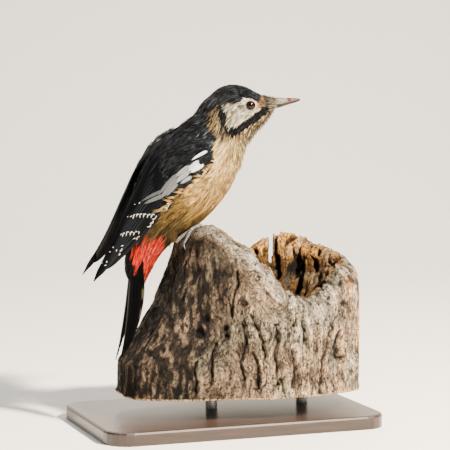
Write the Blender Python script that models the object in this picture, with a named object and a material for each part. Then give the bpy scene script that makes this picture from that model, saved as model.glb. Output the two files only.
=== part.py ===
"""Great spotted woodpecker, adult hen, life size, clinging to the broken top of a short cut length of trunk.

The trunk stands on two short rods in a flat board. Metres, +Z up. The origin is the centre of
the board's underside, the bird faces +X and its right side is towards -Y. Every length below is
in millimetres and is turned to metres by MM. The bird is drawn from GRIP, the top of the knob
between its feet: x forward, y to its left, z up.
"""

import math
from collections import namedtuple

import bmesh
import bpy
from mathutils import Matrix, Vector
from mathutils.bvhtree import BVHTree

MM = 0.001

# Driving dimensions
BOARD_LENGTH, BOARD_DEPTH, BOARD_THICKNESS = 194.0, 120.0, 9.0
BOARD_CORNER = 16.0
ROD_DIAMETER = 8.0
TRUNK_BOTTOM = 23.0  # height of the trunk's sawn underside above the table
GRIP = Vector((-16.0, 0.0, 136.0))
GAP = 0.3  # air between neighbouring solids
HEAD_TURN = -10.0  # degrees; the head looks a little to the bird's right
NECK_PIVOT_X = 14.0
BODY_SIDES = 20
FULLNESS = 0.9  # of the body's outline: 1 is an ellipse, less is squarer
CHEEK = 0.09  # how much wider the head is below its middle than above it

# One cross-section of the body: its point on the back and on the front, as (x, z) in the middle
# plane with the head straight, its half width, and the share of HEAD_TURN that it takes.
Station = namedtuple("Station", "name back front half_width turn")
STATIONS = [
    Station("bill_root", (47.6, 84.7), (51.2, 74.2), 5.2, 1.0),
    Station("lores", (43.6, 85.3), (48.6, 70.8), 7.4, 1.0),
    Station("forehead", (38.0, 87.9), (44.8, 66.0), 9.8, 1.0),
    Station("eye", (29.6, 91.9), (40.8, 61.6), 11.9, 1.0),
    Station("crown", (20.0, 92.8), (37.2, 57.8), 13.4, 1.0),
    Station("hind_crown", (11.6, 89.6), (35.2, 55.0), 14.2, 1.0),
    Station("nape", (5.4, 83.2), (33.4, 52.8), 14.4, 0.95),
    Station("upper_neck", (1.0, 76.6), (31.9, 50.4), 14.8, 0.75),
    Station("lower_neck", (-3.6, 70.2), (30.2, 46.4), 16.4, 0.4),
    Station("shoulders", (-13.0, 65.2), (28.2, 40.2), 18.6, 0.0),
    Station("mantle", (-22.0, 58.6), (26.0, 33.4), 20.8, 0.0),
    Station("breast", (-31.0, 50.2), (20.8, 22.8), 22.2, 0.0),
    Station("belly", (-39.2, 39.4), (11.8, 11.2), 21.8, 0.0),
    Station("lower_belly", (-44.8, 26.0), (1.2, 1.2), 19.6, 0.0),
    Station("flank", (-47.6, 12.0), (-9.6, -5.6), 16.6, 0.0),
    Station("rump", (-49.4, -1.0), (-20.0, -12.8), 13.2, 0.0),
    Station("vent", (-51.4, -12.5), (-28.4, -21.2), 10.8, 0.0),
    Station("coverts", (-53.0, -24.5), (-34.0, -30.6), 8.8, 0.0),
    Station("covert_tips", (-52.4, -33.0), (-38.0, -38.2), 6.6, 0.0),
    Station("vent_point", (-47.0, -39.5), (-40.6, -43.4), 2.6, 0.0),
]
STATION_AT = {station.name: number for number, station in enumerate(STATIONS)}
# The body is parted where a person would name its lengths.
BODY_PARTS = [
    ("head", "bill_root", "upper_neck", "head_plumage"),
    ("neck", "upper_neck", "shoulders", "buff_plumage"),
    ("trunk", "shoulders", "rump", "buff_plumage"),
    ("tail_coverts", "rump", "vent_point", "red_plumage"),
]

# The bill in profile, head straight: x, top edge, mouth line, lower edge and half width.
BILL = [
    (44.0, 83.5, 77.8, 75.2, 4.3),
    (49.5, 83.4, 78.2, 75.6, 3.9),
    (55.0, 83.3, 78.9, 76.8, 3.1),
    (61.5, 83.1, 80.2, 78.8, 2.1),
    (66.5, 82.9, 81.4, 80.3, 1.25),
    (69.0, 82.6, 81.95, 81.3, 0.7),
]
LOWER_BILL_SHORTER = 0.9
# Half of the bill in section, as shares of its half width and of its height.
BILL_RIDGE = [(1, 0), (0.93, 0.42), (0.66, 0.78), (0.22, 1)]
BILL_RIDGE += [(-across, up) for across, up in reversed(BILL_RIDGE)]
EYE_AT = (32.9, 78.5)
EYE_RADIUS = 4.3
EYE_STANDS_OUT = 1.05

# The right wing from the shoulder to the tip: upper edge, lower edge, bulge of its outer face and thickness.
Blade = namedtuple("Blade", "upper lower bulge thickness")
WING = [
    Blade((1.5, -16.6, 54.0), (5.0, -18.8, 46.5), 0.6, 2.2),
    Blade((-6.0, -13.2, 61.0), (0.8, -21.4, 38.0), 2.6, 5.0),
    Blade((-18.0, -11.0, 59.4), (-9.0, -23.4, 29.5), 4.2, 7.0),
    Blade((-29.5, -9.2, 51.6), (-20.6, -23.6, 20.0), 5.0, 7.4),
    Blade((-39.0, -7.4, 38.8), (-31.2, -22.0, 10.6), 4.8, 7.0),
    Blade((-46.6, -5.4, 23.4), (-39.8, -18.8, 0.4), 4.2, 6.0),
    Blade((-53.8, -3.8, 8.4), (-47.4, -15.4, -9.6), 3.4, 4.8),
    Blade((-60.2, -3.4, -5.2), (-55.2, -12.4, -17.6), 2.4, 3.6),
    Blade((-66.6, -4.0, -17.4), (-63.4, -9.8, -25.0), 1.5, 2.4),
    Blade((-72.2, -5.2, -27.4), (-70.6, -8.2, -31.0), 0.8, 1.6),
    Blade((-76.8, -6.6, -35.8), (-76.4, -7.4, -36.6), 0.2, 0.9),
]
WING_PART_AT = 4.5  # the coverts end here, counted in blades
WING_HINGE = (-6.0, 0.0, 50.0)
LEFT_WING_LIFT = 2.6  # degrees; the left wing lies a little higher than the right

# One side of the tail: its middle line as (x, z), half width of the whole tail, thickness, and
# the bend of its edge forward.
Fan = namedtuple("Fan", "middle half_width thickness droop")
TAIL = [
    Fan((-43.2, -16.0), 4.6, 3.2, 0.6),
    Fan((-46.0, -28.0), 9.2, 4.6, 2.4),
    Fan((-47.4, -42.0), 12.2, 4.6, 3.8),
    Fan((-49.4, -56.0), 12.6, 4.0, 4.0),
    Fan((-52.2, -70.0), 11.4, 3.0, 3.4),
    Fan((-55.0, -81.0), 8.8, 2.0, 2.2),
]
TAIL_TIP = (-58.2, 5.2, -90.4)
TAIL_TIP_SIZE = 0.9
# Half of the tail in section, as shares of its half width and of half its thickness.
TAIL_SECTION = [(0, -1), (0.4, -1), (0.8, -0.8), (1, -0.3), (1, 0.3), (0.8, 0.8), (0.4, 1), (0, 1)]

# Right leg: the thigh's feathers, the heel, and the joint that all four toes spring from.
THIGH = [
    ((-24.0, -7.0, 8.0), 6.4),
    ((-24.0, -8.6, -2.0), 5.6),
    ((-23.2, -10.6, -8.2), 3.8),
    ((-22.2, -11.8, -11.2), 2.3),
]
HEEL = (-21.6, -11.9, -11.2)
FOOT_JOINT = (-4.2, -13.2, 1.2)
FOOT_HEIGHT = 2.4  # of that joint above the bark
TARSUS_RADIUS = 1.35
KNUCKLE_RADIUS = 1.75
ANKLE_RISE = 0.8  # of the tarsus's end above the joint
TOE_RADIUS = 1.25
CLAW_RADIUS = 0.85
CLAW_TIP_RADIUS = 0.3
LEFT_FOOT_SHIFT = (-1.5, 0.0, -1.0)
# Where each toe of the right foot lies before it is laid on the bark; the last is its claw's tip.
TOES = {
    "inner_front": [(-1.6, -11.2, 1.0), (1.4, -9.6, 0.6), (4.6, -8.2, 0.2), (9.4, -6.6, -1.0)],
    "outer_front": [(-1.4, -14.0, 1.0), (2.6, -14.8, 0.6), (6.8, -15.8, -0.2), (12.4, -17.0, -3.0)],
    "inner_rear": [(-7.0, -11.2, -1.0), (-9.4, -9.8, -3.6), (-11.2, -8.8, -6.4), (-13.4, -8.2, -10.4)],
    "outer_rear": [(-7.0, -15.4, -0.6), (-11.4, -17.2, -3.8), (-15.8, -18.0, -8.6), (-18.2, -18.2, -15.4)],
}

# The trunk in plan from GRIP: its middle, and for each bearing (degrees, 180 under the bird's
# tail) the radius of its wall and the height of its broken rim.
TRUNK_MIDDLE = (48.0, 0.0)
RIM = [
    (0, 62.5, -23.5),
    (12, 62.0, -21.0),
    (25, 60.0, -18.0),
    (38, 58.0, -14.0),
    (50, 57.0, -11.5),
    (62, 56.0, -12.0),
    (70, 55.0, -15.5),
    (78, 54.5, -18.5),
    (86, 54.0, -23.0),
    (100, 54.5, -22.0),
    (120, 56.0, -14.0),
    (145, 60.0, -8.0),
    (165, 64.0, -5.2),
    (180, 57.0, -6.2),
    (195, 66.0, -3.2),
    (202, 65.8, 0.2),
    (209, 65.0, 1.2),
    (213, 64.4, 0.8),
    (217, 63.2, -3.0),
    (223, 61.0, -8.2),
    (232, 58.0, -11.4),
    (250, 54.0, -27.0),
    (266, 53.0, -42.0),
    (286, 55.0, -49.0),
    (299, 58.0, -39.0),
    (312, 60.0, -27.0),
    (325, 63.0, -27.0),
    (342, 63.5, -28.5),
]
RIM_WIDTH = 15.0
HOLLOW_FLOOR = -62.0
HOLLOW_RADIUS = 26.0
FLUTES, FLUTE_DEPTH = 12, 1.7  # upright columns left standing in the rotten wood of the hollow
SLOT_BEARING, SLOT_WIDTH = 65.5, 2.3  # the split in the far wall, down to SLOT_FLOOR
SLOT_FLOOR, SLOT_MIDDLE, SLOT_REACH = -34.0, 48.0, 32.0
BUTTRESS_REACH = 66.0  # how far the wall swells out under the tail
BUTTRESS_SPREAD = 30.0  # degrees
BUTTRESS_TOP, BUTTRESS_MOST = -10.0, 0.72
BARK_RELIEF = 1.4
TRUNK_BEARINGS = 50
ROD_PLACES = (8.0, 74.0)

COLOURS = {
    "black_plumage": ("#15161B", 0.55),
    "buff_plumage": ("#C9A679", 0.85),
    "head_plumage": ("#1B1B1F", 0.6),
    "red_plumage": ("#C8281C", 0.8),
    "bill_horn": ("#8B857C", 0.4),
    "eye_gloss": ("#3A130D", 0.08),
    "foot_scale": ("#A4A29A", 0.6),
    "claw_horn": ("#8E9296", 0.35),
    "bark": ("#8A7560", 0.9),
    "stand_wood": ("#2A211B", 0.45),
    "stand_steel": ("#9A9A9C", 0.3),
}


def linear(hex_colour):
    """An sRGB hex colour as linear RGBA."""
    channels = [int(hex_colour[i : i + 2], 16) / 255 for i in (1, 3, 5)]
    return [c / 12.92 if c <= 0.04045 else ((c + 0.055) / 1.055) ** 2.4 for c in channels] + [1.0]


def make_materials():
    made = {}
    for name, (colour, roughness) in COLOURS.items():
        made[name] = bpy.data.materials.new(name)
        made[name].use_nodes = True
        shader = made[name].node_tree.nodes["Principled BSDF"]
        shader.inputs["Base Color"].default_value = linear(colour)
        shader.inputs["Roughness"].default_value = roughness
        shader.inputs["Metallic"].default_value = 1.0 if name == "stand_steel" else 0.0
    return made


def clear_scene():
    for obj in list(bpy.data.objects):
        bpy.data.objects.remove(obj)


def make_collection(name):
    collection = bpy.data.collections.new(name)
    bpy.context.scene.collection.children.link(collection)
    return collection


def interpolated(values, at):
    """A smooth (Catmull-Rom) reading of a list of numbers or tuples at a fractional index."""
    number = min(int(at), len(values) - 2)
    share = at - number
    four = [values[max(0, min(len(values) - 1, number + k))] for k in (-1, 0, 1, 2)]
    weights = (
        0.5 * (-share + 2 * share**2 - share**3),
        0.5 * (2 - 5 * share**2 + 3 * share**3),
        0.5 * (share + 4 * share**2 - 3 * share**3),
        0.5 * (share**3 - share**2),
    )
    if isinstance(four[0], tuple):
        return tuple(sum(w * v[k] for w, v in zip(weights, four)) for k in range(len(four[0])))
    return sum(w * v for w, v in zip(weights, four))


def place(point):
    """A point given in millimetres from GRIP, in metres in the part's frame."""
    return (GRIP + Vector(point)) * MM


def turned(point, share=1.0):
    """A point of the straight head, turned with the head about the neck."""
    pivot = Vector((NECK_PIVOT_X, 0.0, 0.0))
    return Matrix.Rotation(math.radians(HEAD_TURN * share), 3, "Z") @ (Vector(point) - pivot) + pivot


def add_object(name, bm, material, collection, smooth=True):
    """Closes the mesh's normals outward and makes it an object."""
    bmesh.ops.recalc_face_normals(bm, faces=bm.faces)
    if bm.calc_volume(signed=True) < 0:
        bmesh.ops.reverse_faces(bm, faces=bm.faces)
    mesh = bpy.data.meshes.new(name)
    bm.to_mesh(mesh)
    bm.free()
    obj = bpy.data.objects.new(name, mesh)
    collection.objects.link(obj)
    if material:
        mesh.materials.append(material)
    if smooth:
        mesh.shade_smooth()
        mesh.set_sharp_from_angle(angle=math.radians(50))
    return obj


def loft(rings):
    """A closed mesh through rings of equal counts, in millimetres from GRIP, with both ends capped."""
    bm = bmesh.new()
    rows = [[bm.verts.new(place(point)) for point in ring] for ring in rings]
    sides = len(rows[0])
    for one, two in zip(rows, rows[1:]):
        for k in range(sides):
            bm.faces.new((one[k], one[(k + 1) % sides], two[(k + 1) % sides], two[k]))
    bm.faces.new(rows[0][::-1])
    bm.faces.new(rows[-1])
    bmesh.ops.triangulate(bm, faces=[f for f in bm.faces if len(f.verts) > 4])
    return bm


def as_cutter(obj):
    obj.hide_render = True
    obj.display_type = "WIRE"
    return obj


def boolean(obj, other, operation):
    modifier = obj.modifiers.new(f"{operation.lower()}_{other.name}", "BOOLEAN")
    modifier.operation = operation
    modifier.solver = "EXACT"
    modifier.object = other


# ---------------------------------------------------------------- body


def body_ring(at):
    """The body's outline at a fractional station: an oval, a little fuller than an ellipse."""
    back = interpolated([s.back for s in STATIONS], at)
    front = interpolated([s.front for s in STATIONS], at)
    half_width = interpolated([s.half_width for s in STATIONS], at)
    share = interpolated([s.turn for s in STATIONS], at)
    middle = Vector(((back[0] + front[0]) / 2, 0.0, (back[1] + front[1]) / 2))
    upward = Vector(((back[0] - front[0]) / 2, 0.0, (back[1] - front[1]) / 2))
    ring = []
    for k in range(BODY_SIDES):
        angle = 2 * math.pi * k / BODY_SIDES
        up, side = math.cos(angle), math.sin(angle)
        up = math.copysign(abs(up) ** FULLNESS, up)
        side = math.copysign(abs(side) ** FULLNESS, side)
        cheek = 1.0 - CHEEK * share * up
        point = middle + upward * up + Vector((0.0, -half_width * side * cheek, 0.0))
        ring.append(turned(point, share))
    return ring


def body_part(first, last, steps=2):
    """Rings from one named station to another, pulled in at both ends by half the gap."""
    start, end = STATION_AT[first], STATION_AT[last]
    inset = GAP / 2 / 8.0  # stations lie about 8 mm apart
    spots = [start + k / steps for k in range((end - start) * steps + 1)]
    spots[0] += inset if start else 0.0
    spots[-1] -= inset if end < len(STATIONS) - 1 else 0.0
    return loft([body_ring(at) for at in spots])


def make_body(materials, parts):
    made = {}
    for name, first, last, finish in BODY_PARTS:
        made[name] = add_object(name, body_part(first, last), materials[finish], parts)
    return made


# ---------------------------------------------------------------- bill and eyes


def bill_rings(lower, grow=0.0):
    """The upper or lower half of the bill, on one side of the flat mouth line."""
    rings = []
    for number, (x, top, mouth, bottom, half_width) in enumerate(BILL):
        edge = bottom - grow if lower else top + grow
        flat = mouth - GAP / 2 if lower else mouth + GAP / 2
        flat += grow if lower else -grow
        if number == len(BILL) - 1:
            x += grow - (LOWER_BILL_SHORTER if lower else 0.0)
        width = half_width + grow
        rings.append([turned((x, across * width, flat + up * (edge - flat))) for across, up in BILL_RIDGE])
    return rings


def make_bill(head, materials, parts, cutters):
    for name, lower in (("bill_upper", False), ("bill_lower", True)):
        add_object(name, loft(bill_rings(lower)), materials["bill_horn"], parts)
    for name, lower in (("bill_upper_room", False), ("bill_lower_room", True)):
        room = as_cutter(add_object(name, loft(bill_rings(lower, GAP)), None, cutters))
        boolean(head, room, "DIFFERENCE")


def make_eyes(head, materials, parts, cutters):
    surface = BVHTree.FromObject(head, bpy.context.evaluated_depsgraph_get())
    for name, side in (("eye_right", -1), ("eye_left", 1)):
        outside = place(turned((EYE_AT[0], side * 40.0, EYE_AT[1])))
        inward = (place(turned((EYE_AT[0], 0.0, EYE_AT[1]))) - outside).normalized()
        skin, _, _, _ = surface.ray_cast(outside, inward)
        middle = skin + inward * (EYE_RADIUS - EYE_STANDS_OUT) * MM
        for label, radius, finish, collection in (
            (name, EYE_RADIUS, materials["eye_gloss"], parts),
            (f"{name}_socket", EYE_RADIUS + GAP, None, cutters),
        ):
            bm = bmesh.new()
            bmesh.ops.create_uvsphere(bm, u_segments=16, v_segments=9, radius=radius * MM)
            bmesh.ops.translate(bm, verts=bm.verts, vec=middle)
            obj = add_object(label, bm, finish, collection)
        boolean(head, as_cutter(obj), "DIFFERENCE")


# ---------------------------------------------------------------- wings


def wing_point(point, side):
    """Mirrors a point of the right wing to the left one, and lifts that one about its hinge."""
    if side < 0:
        return Vector(point)
    hinge = Vector(WING_HINGE)
    mirrored = Vector((point[0], -point[1], point[2]))
    return Matrix.Rotation(math.radians(LEFT_WING_LIFT), 3, "Y") @ (mirrored - hinge) + hinge


def wing_edges(at):
    """The wing's upper and lower edge at a fractional blade."""
    upper = Vector(interpolated([b.upper for b in WING], at))
    return upper, Vector(interpolated([b.lower for b in WING], at))


def wing_ring(at, side, grow=0.0):
    """A thin crescent from the upper edge to the lower one and back along the inner face."""
    upper, lower = wing_edges(at)
    bulge = interpolated([b.bulge for b in WING], at)
    thickness = interpolated([b.thickness for b in WING], at)
    step = 0.05 if at < len(WING) - 1.05 else -0.05
    beyond = wing_edges(at + step)
    outward = (beyond[0] + beyond[1] - upper - lower).cross(lower - upper) * math.copysign(1.0, step)
    outward.normalize()
    if outward.y > 0:
        outward.negate()
    chord = (lower - upper).normalized()
    upper, lower = upper - chord * grow, lower + chord * grow
    ring = []
    shares = (0.0, 0.18, 0.42, 0.68, 0.88, 1.0)
    for share in shares:
        arch = math.sin(math.pi * share)
        lift = bulge * arch + grow + 0.3 * thickness * arch**0.5
        ring.append(wing_point(upper.lerp(lower, share) + outward * lift, side))
    for share in reversed(shares):
        arch = math.sin(math.pi * share)
        lift = bulge * arch - grow - 0.7 * thickness * arch**0.5 - 0.5
        ring.append(wing_point(upper.lerp(lower, share) + outward * lift, side))
    return ring


def make_wings(body, materials, parts, cutters):
    last = len(WING) - 1
    inset = GAP / 2 / 17.0  # blades lie about 17 mm apart
    for label, side in (("right", -1), ("left", 1)):
        spans = (
            ("coverts", [k / 2 for k in range(9)] + [WING_PART_AT - inset]),
            ("flight_feathers", [WING_PART_AT + inset] + [k / 2 for k in range(10, 2 * last + 1)]),
        )
        for name, spots in spans:
            rings = [wing_ring(at, side) for at in spots]
            add_object(f"wing_{label}_{name}", loft(rings), materials["black_plumage"], parts)
        room = loft([wing_ring(k / 2, side, GAP) for k in range(2 * last + 1)])
        room = as_cutter(add_object(f"wing_{label}_room", room, None, cutters))
        for name in ("neck", "trunk", "tail_coverts"):
            boolean(body[name], room, "DIFFERENCE")


# ---------------------------------------------------------------- tail


def tail_ring(at, side, grow=0.0):
    """One half of the tail, from its middle to its outer edge, which bends forward."""
    x, z = interpolated([f.middle for f in TAIL], at)
    half_width = interpolated([f.half_width for f in TAIL], at) + grow
    thickness = interpolated([f.thickness for f in TAIL], at) / 2 + grow
    droop = interpolated([f.droop for f in TAIL], at)
    inner = GAP / 2 - grow
    ring = []
    for share, face in TAIL_SECTION:
        across = inner + (half_width - inner) * share
        ring.append(Vector((x + face * thickness + droop * share**2, side * across, z)))
    return ring


def make_tail(body, materials, parts, cutters):
    last = len(TAIL) - 1
    spots = [k / 2 for k in range(2 * last + 1)]
    for label, side in (("right", -1), ("left", 1)):
        x, y, z = TAIL_TIP
        rings = [tail_ring(at, side) for at in spots]
        tip = [
            Vector((x + face * TAIL_TIP_SIZE / 2, side * (y + (share - 0.5) * 2 * TAIL_TIP_SIZE), z))
            for share, face in TAIL_SECTION
        ]
        add_object(f"tail_{label}", loft([*rings, tip]), materials["black_plumage"], parts)
        room = loft([tail_ring(at, side, GAP) for at in spots])
        room = as_cutter(add_object(f"tail_{label}_room", room, None, cutters))
        boolean(body["tail_coverts"], room, "DIFFERENCE")


# ---------------------------------------------------------------- trunk and stand


def rim_at(bearing):
    """(wall radius, rim height) at a bearing in degrees, round the closed rim."""
    bearings = [b for b, _, _ in RIM]
    later = next((k for k, b in enumerate(bearings) if b > bearing), len(RIM))
    one, two = RIM[later - 1], RIM[later % len(RIM)]
    span = (two[0] - one[0]) % 360
    share = (bearing - one[0]) / span
    share = share * share * (3 - 2 * share)
    return one[1] + (two[1] - one[1]) * share, one[2] + (two[2] - one[2]) * share


def wall_radius(bearing, height):
    """The trunk's outer radius: its rim's, the swelling under the tail, and the bark's ridges."""
    radius, _ = rim_at(bearing)
    depth = max(0.0, (BUTTRESS_TOP - height) / (BUTTRESS_TOP - (TRUNK_BOTTOM - GRIP.z)))
    swell = min(BUTTRESS_MOST, depth**1.5)
    spread = math.exp(-(((bearing - 180.0) / BUTTRESS_SPREAD) ** 2))
    ridges = math.sin(math.radians(5 * bearing + 0.9 * height))
    ridges += 0.6 * math.sin(math.radians(11 * bearing - 1.7 * height))
    return radius + BUTTRESS_REACH * swell * spread + BARK_RELIEF * ridges * (1.0 - spread)


def trunk_column(bearing):
    """One upright outline of the trunk: up its wall, over the rim and down into the hollow."""
    radius, rim = rim_at(bearing)
    bottom = TRUNK_BOTTOM - GRIP.z
    shoulder = rim - 7.0
    column = [(wall_radius(bearing, bottom), bottom)]
    for share in (0.22, 0.42, 0.6, 0.76, 0.9):
        height = bottom + (shoulder - bottom) * share
        column.append((wall_radius(bearing, height), height))
    column.append((radius - 1.0, shoulder))
    column.append((radius - 0.32 * RIM_WIDTH, rim - 1.2))
    column.append((radius - 0.62 * RIM_WIDTH, rim))
    column.append((radius - 0.9 * RIM_WIDTH, rim - 2.6))
    flute = FLUTE_DEPTH * math.sin(math.radians(FLUTES * bearing))
    column.append((radius - 1.12 * RIM_WIDTH + 0.7 * flute, rim - 8.0))
    waist = (HOLLOW_RADIUS + radius - 1.12 * RIM_WIDTH) / 2 + 2.0
    column.append((waist + flute, (rim - 8.0 + HOLLOW_FLOOR) / 2))
    column.append((HOLLOW_RADIUS + flute, HOLLOW_FLOOR + 2.0))
    return column


def split_cutter(cutters):
    """The upright blade that cuts the slot into the far wall."""
    bm = bmesh.new()
    bmesh.ops.create_cube(bm, size=1.0)
    bmesh.ops.scale(bm, verts=bm.verts, vec=(SLOT_REACH * MM, SLOT_WIDTH * MM, -SLOT_FLOOR * MM))
    bearing = math.radians(SLOT_BEARING)
    bmesh.ops.rotate(bm, verts=bm.verts, matrix=Matrix.Rotation(bearing, 3, "Z"))
    out = Vector((math.cos(bearing), math.sin(bearing), 0.0)) * SLOT_MIDDLE
    bmesh.ops.translate(bm, verts=bm.verts, vec=place(Vector((*TRUNK_MIDDLE, SLOT_FLOOR / 2)) + out))
    return as_cutter(add_object("split", bm, None, cutters, smooth=False))


def make_trunk(materials, parts, cutters):
    bm = bmesh.new()
    columns = []
    middle = Vector((*TRUNK_MIDDLE, 0.0))
    for k in range(TRUNK_BEARINGS):
        bearing = 360.0 * k / TRUNK_BEARINGS
        out = Vector((math.cos(math.radians(bearing)), math.sin(math.radians(bearing)), 0.0))
        column = [middle + out * radius + Vector((0, 0, height)) for radius, height in trunk_column(bearing)]
        columns.append([bm.verts.new(place(point)) for point in column])
    under = bm.verts.new(place((*TRUNK_MIDDLE, TRUNK_BOTTOM - GRIP.z)))
    floor = bm.verts.new(place((*TRUNK_MIDDLE, HOLLOW_FLOOR)))
    for k, column in enumerate(columns):
        beside = columns[(k + 1) % TRUNK_BEARINGS]
        bm.faces.new((under, beside[0], column[0]))
        for low in range(len(column) - 1):
            bm.faces.new((column[low], beside[low], beside[low + 1], column[low + 1]))
        bm.faces.new((column[-1], beside[-1], floor))
    trunk = add_object("perch_trunk", bm, materials["bark"], parts)
    boolean(trunk, split_cutter(cutters), "DIFFERENCE")
    return trunk


def make_stand(materials, parts):
    bm = bmesh.new()
    size = Vector((BOARD_LENGTH, BOARD_DEPTH, BOARD_THICKNESS)) * MM
    bmesh.ops.create_cube(bm, size=1.0, matrix=Matrix.Diagonal((*size, 1.0)))
    rounding = {"profile": 0.5, "affect": "EDGES", "material": -1}
    upright = [e for e in bm.edges if abs(e.verts[0].co.z - e.verts[1].co.z) > 0.5 * size.z]
    bmesh.ops.bevel(bm, geom=upright, offset=BOARD_CORNER * MM, segments=5, **rounding)
    top = [e for e in bm.edges if all(v.co.z > 0.49 * size.z for v in e.verts)]
    bmesh.ops.bevel(bm, geom=top, offset=1.6 * MM, segments=2, **rounding)
    bmesh.ops.translate(bm, verts=bm.verts, vec=(0.0, 0.0, size.z / 2))
    add_object("stand_board", bm, materials["stand_wood"], parts)
    for number, x in enumerate(ROD_PLACES):
        low, high = BOARD_THICKNESS + GAP, TRUNK_BOTTOM - GAP
        radius = ROD_DIAMETER * MM / 2
        bm = bmesh.new()
        bmesh.ops.create_cone(
            bm, cap_ends=True, segments=20, radius1=radius, radius2=radius, depth=(high - low) * MM
        )
        bmesh.ops.translate(bm, verts=bm.verts, vec=((GRIP.x + x) * MM, 0.0, (low + high) * MM / 2))
        add_object(f"stand_rod_{number + 1}", bm, materials["stand_steel"], parts)


# ---------------------------------------------------------------- legs


def tube(name, points, radii, material, collection, sides=3):
    """A tapered tube through points in metres, made a mesh with welded caps."""
    curve = bpy.data.curves.new(name, "CURVE")
    curve.dimensions = "3D"
    curve.bevel_depth = MM
    curve.bevel_resolution = sides - 2
    curve.use_fill_caps = True
    spline = curve.splines.new("POLY")
    spline.points.add(len(points) - 1)
    for spot, point, radius in zip(spline.points, points, radii):
        spot.co = (*point, 1.0)
        spot.radius = radius
    guide = bpy.data.objects.new(f"{name}_guide", curve)
    collection.objects.link(guide)
    bpy.context.view_layer.update()
    mesh = bpy.data.meshes.new_from_object(guide.evaluated_get(bpy.context.evaluated_depsgraph_get()))
    bm = bmesh.new()
    bm.from_mesh(mesh)
    bmesh.ops.remove_doubles(bm, verts=bm.verts, dist=1e-6)
    bpy.data.objects.remove(guide)
    bpy.data.meshes.remove(mesh)
    return add_object(name, bm, material, collection)


def smooth_route(points, steps=3):
    """Points read from a smooth curve through the given ones."""
    given = [tuple(p) for p in points]
    return [Vector(interpolated(given, k / steps)) for k in range((len(given) - 1) * steps + 1)]


def laid_on(surface, point, height):
    """The nearest place on the bark to a point, raised by a height in millimetres."""
    spot, normal, _, _ = surface.find_nearest(place(point))
    return spot + normal * height * MM


def lifted_clear(surface, spot):
    """A toe's point in metres, moved off the bark where it's too near for the toe's thickness."""
    under, normal, _, depth = surface.find_nearest(spot)
    inside = (spot - under).dot(normal) < 0
    room = (TOE_RADIUS + GAP) * MM
    return under + normal * room if inside or depth < room else spot


def tapering(first, last, count):
    return [first + (last - first) * k / (count - 1) for k in range(count)]


def side_point(point, side):
    """A point of the right leg, or its mirror on the left leg with that foot's own shift."""
    if side < 0:
        return Vector(point)
    return Vector((point[0], -point[1], point[2])) + Vector(LEFT_FOOT_SHIFT)


def toe_route(points, side, surface, joint):
    """(toe points, claw points): the toe leaves the joint, lies on the bark, and its claw hooks into it."""
    laid = [laid_on(surface, side_point(p, side), TOE_RADIUS + GAP) for p in points[:-1]]
    toe = [lifted_clear(surface, spot) for spot in smooth_route([joint.lerp(laid[0], 0.15), *laid])]
    end = toe[-1]
    along = (toe[-1] - toe[-2]).normalized()
    tip = laid_on(surface, side_point(points[-1], side), CLAW_TIP_RADIUS + GAP)
    start = end + along * (GAP + 0.1) * MM
    straight = start + along * CLAW_RADIUS * MM
    crest = straight.lerp(tip, 0.45)
    _, normal, _, _ = surface.find_nearest(crest)
    crest += normal * 1.2 * MM
    return toe, smooth_route([start, straight, crest, tip])


def make_legs(trunk_piece, body, materials, parts, cutters):
    surface = BVHTree.FromObject(trunk_piece, bpy.context.evaluated_depsgraph_get())
    for label, side in (("right", -1), ("left", 1)):
        joint = laid_on(surface, side_point(FOOT_JOINT, side), FOOT_HEIGHT)
        routes = {name: toe_route(points, side, surface, joint) for name, points in TOES.items()}
        bm = bmesh.new()
        bmesh.ops.create_icosphere(bm, subdivisions=2, radius=KNUCKLE_RADIUS * MM)
        bmesh.ops.translate(bm, verts=bm.verts, vec=joint)
        leg = add_object(f"leg_{label}", bm, materials["foot_scale"], parts)
        for name, (toe, claw) in routes.items():
            radii = tapering(TOE_RADIUS * 1.05, TOE_RADIUS * 0.83, len(toe))
            boolean(leg, as_cutter(tube(f"toe_{label}_{name}", toe, radii, None, cutters)), "UNION")
            radii = tapering(CLAW_RADIUS, CLAW_TIP_RADIUS, len(claw))
            tube(f"claw_{label}_{name}", claw, radii, materials["claw_horn"], parts)
        heel = place(side_point(HEEL, side))
        ankle = joint + Vector((0.0, 0.0, ANKLE_RISE * MM))
        shank = smooth_route([heel, heel.lerp(ankle, 0.5) + Vector((0.0, 0.0, 0.6 * MM)), ankle])
        waist = [math.sin(math.pi * k / (len(shank) - 1)) for k in range(len(shank))]
        radii = [TARSUS_RADIUS * (1.15 - 0.3 * w) for w in waist]
        boolean(leg, as_cutter(tube(f"tarsus_{label}", shank, radii, None, cutters)), "UNION")
        make_thigh(label, side, leg, body, materials, parts, cutters)


def make_thigh(label, side, leg, body, materials, parts, cutters):
    """The feathered thigh: the belly is hollowed for it, and the bare leg comes out of it."""
    points = smooth_route([place(side_point(p, side)) for p, _ in THIGH])
    sizes = [r for _, r in THIGH]
    finish = materials["buff_plumage"]
    for grow, material, collection, suffix in ((0.0, finish, parts, ""), (GAP, None, cutters, "_room")):
        radii = [interpolated(sizes, k / 3) + grow for k in range(len(points))]
        thigh = tube(f"thigh_{label}{suffix}", points, radii, material, collection, sides=4)
    as_cutter(thigh)
    for piece in (body["trunk"], body["tail_coverts"], leg):
        boolean(piece, thigh, "DIFFERENCE")


def main():
    clear_scene()
    bpy.context.scene.unit_settings.scale_length = 1.0
    parts, cutters = make_collection("woodpecker"), make_collection("cutters")
    materials = make_materials()
    body = make_body(materials, parts)
    make_eyes(body["head"], materials, parts, cutters)
    make_bill(body["head"], materials, parts, cutters)
    make_wings(body, materials, parts, cutters)
    make_tail(body, materials, parts, cutters)
    trunk_piece = make_trunk(materials, parts, cutters)
    make_legs(trunk_piece, body, materials, parts, cutters)
    make_stand(materials, parts)


main()
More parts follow.
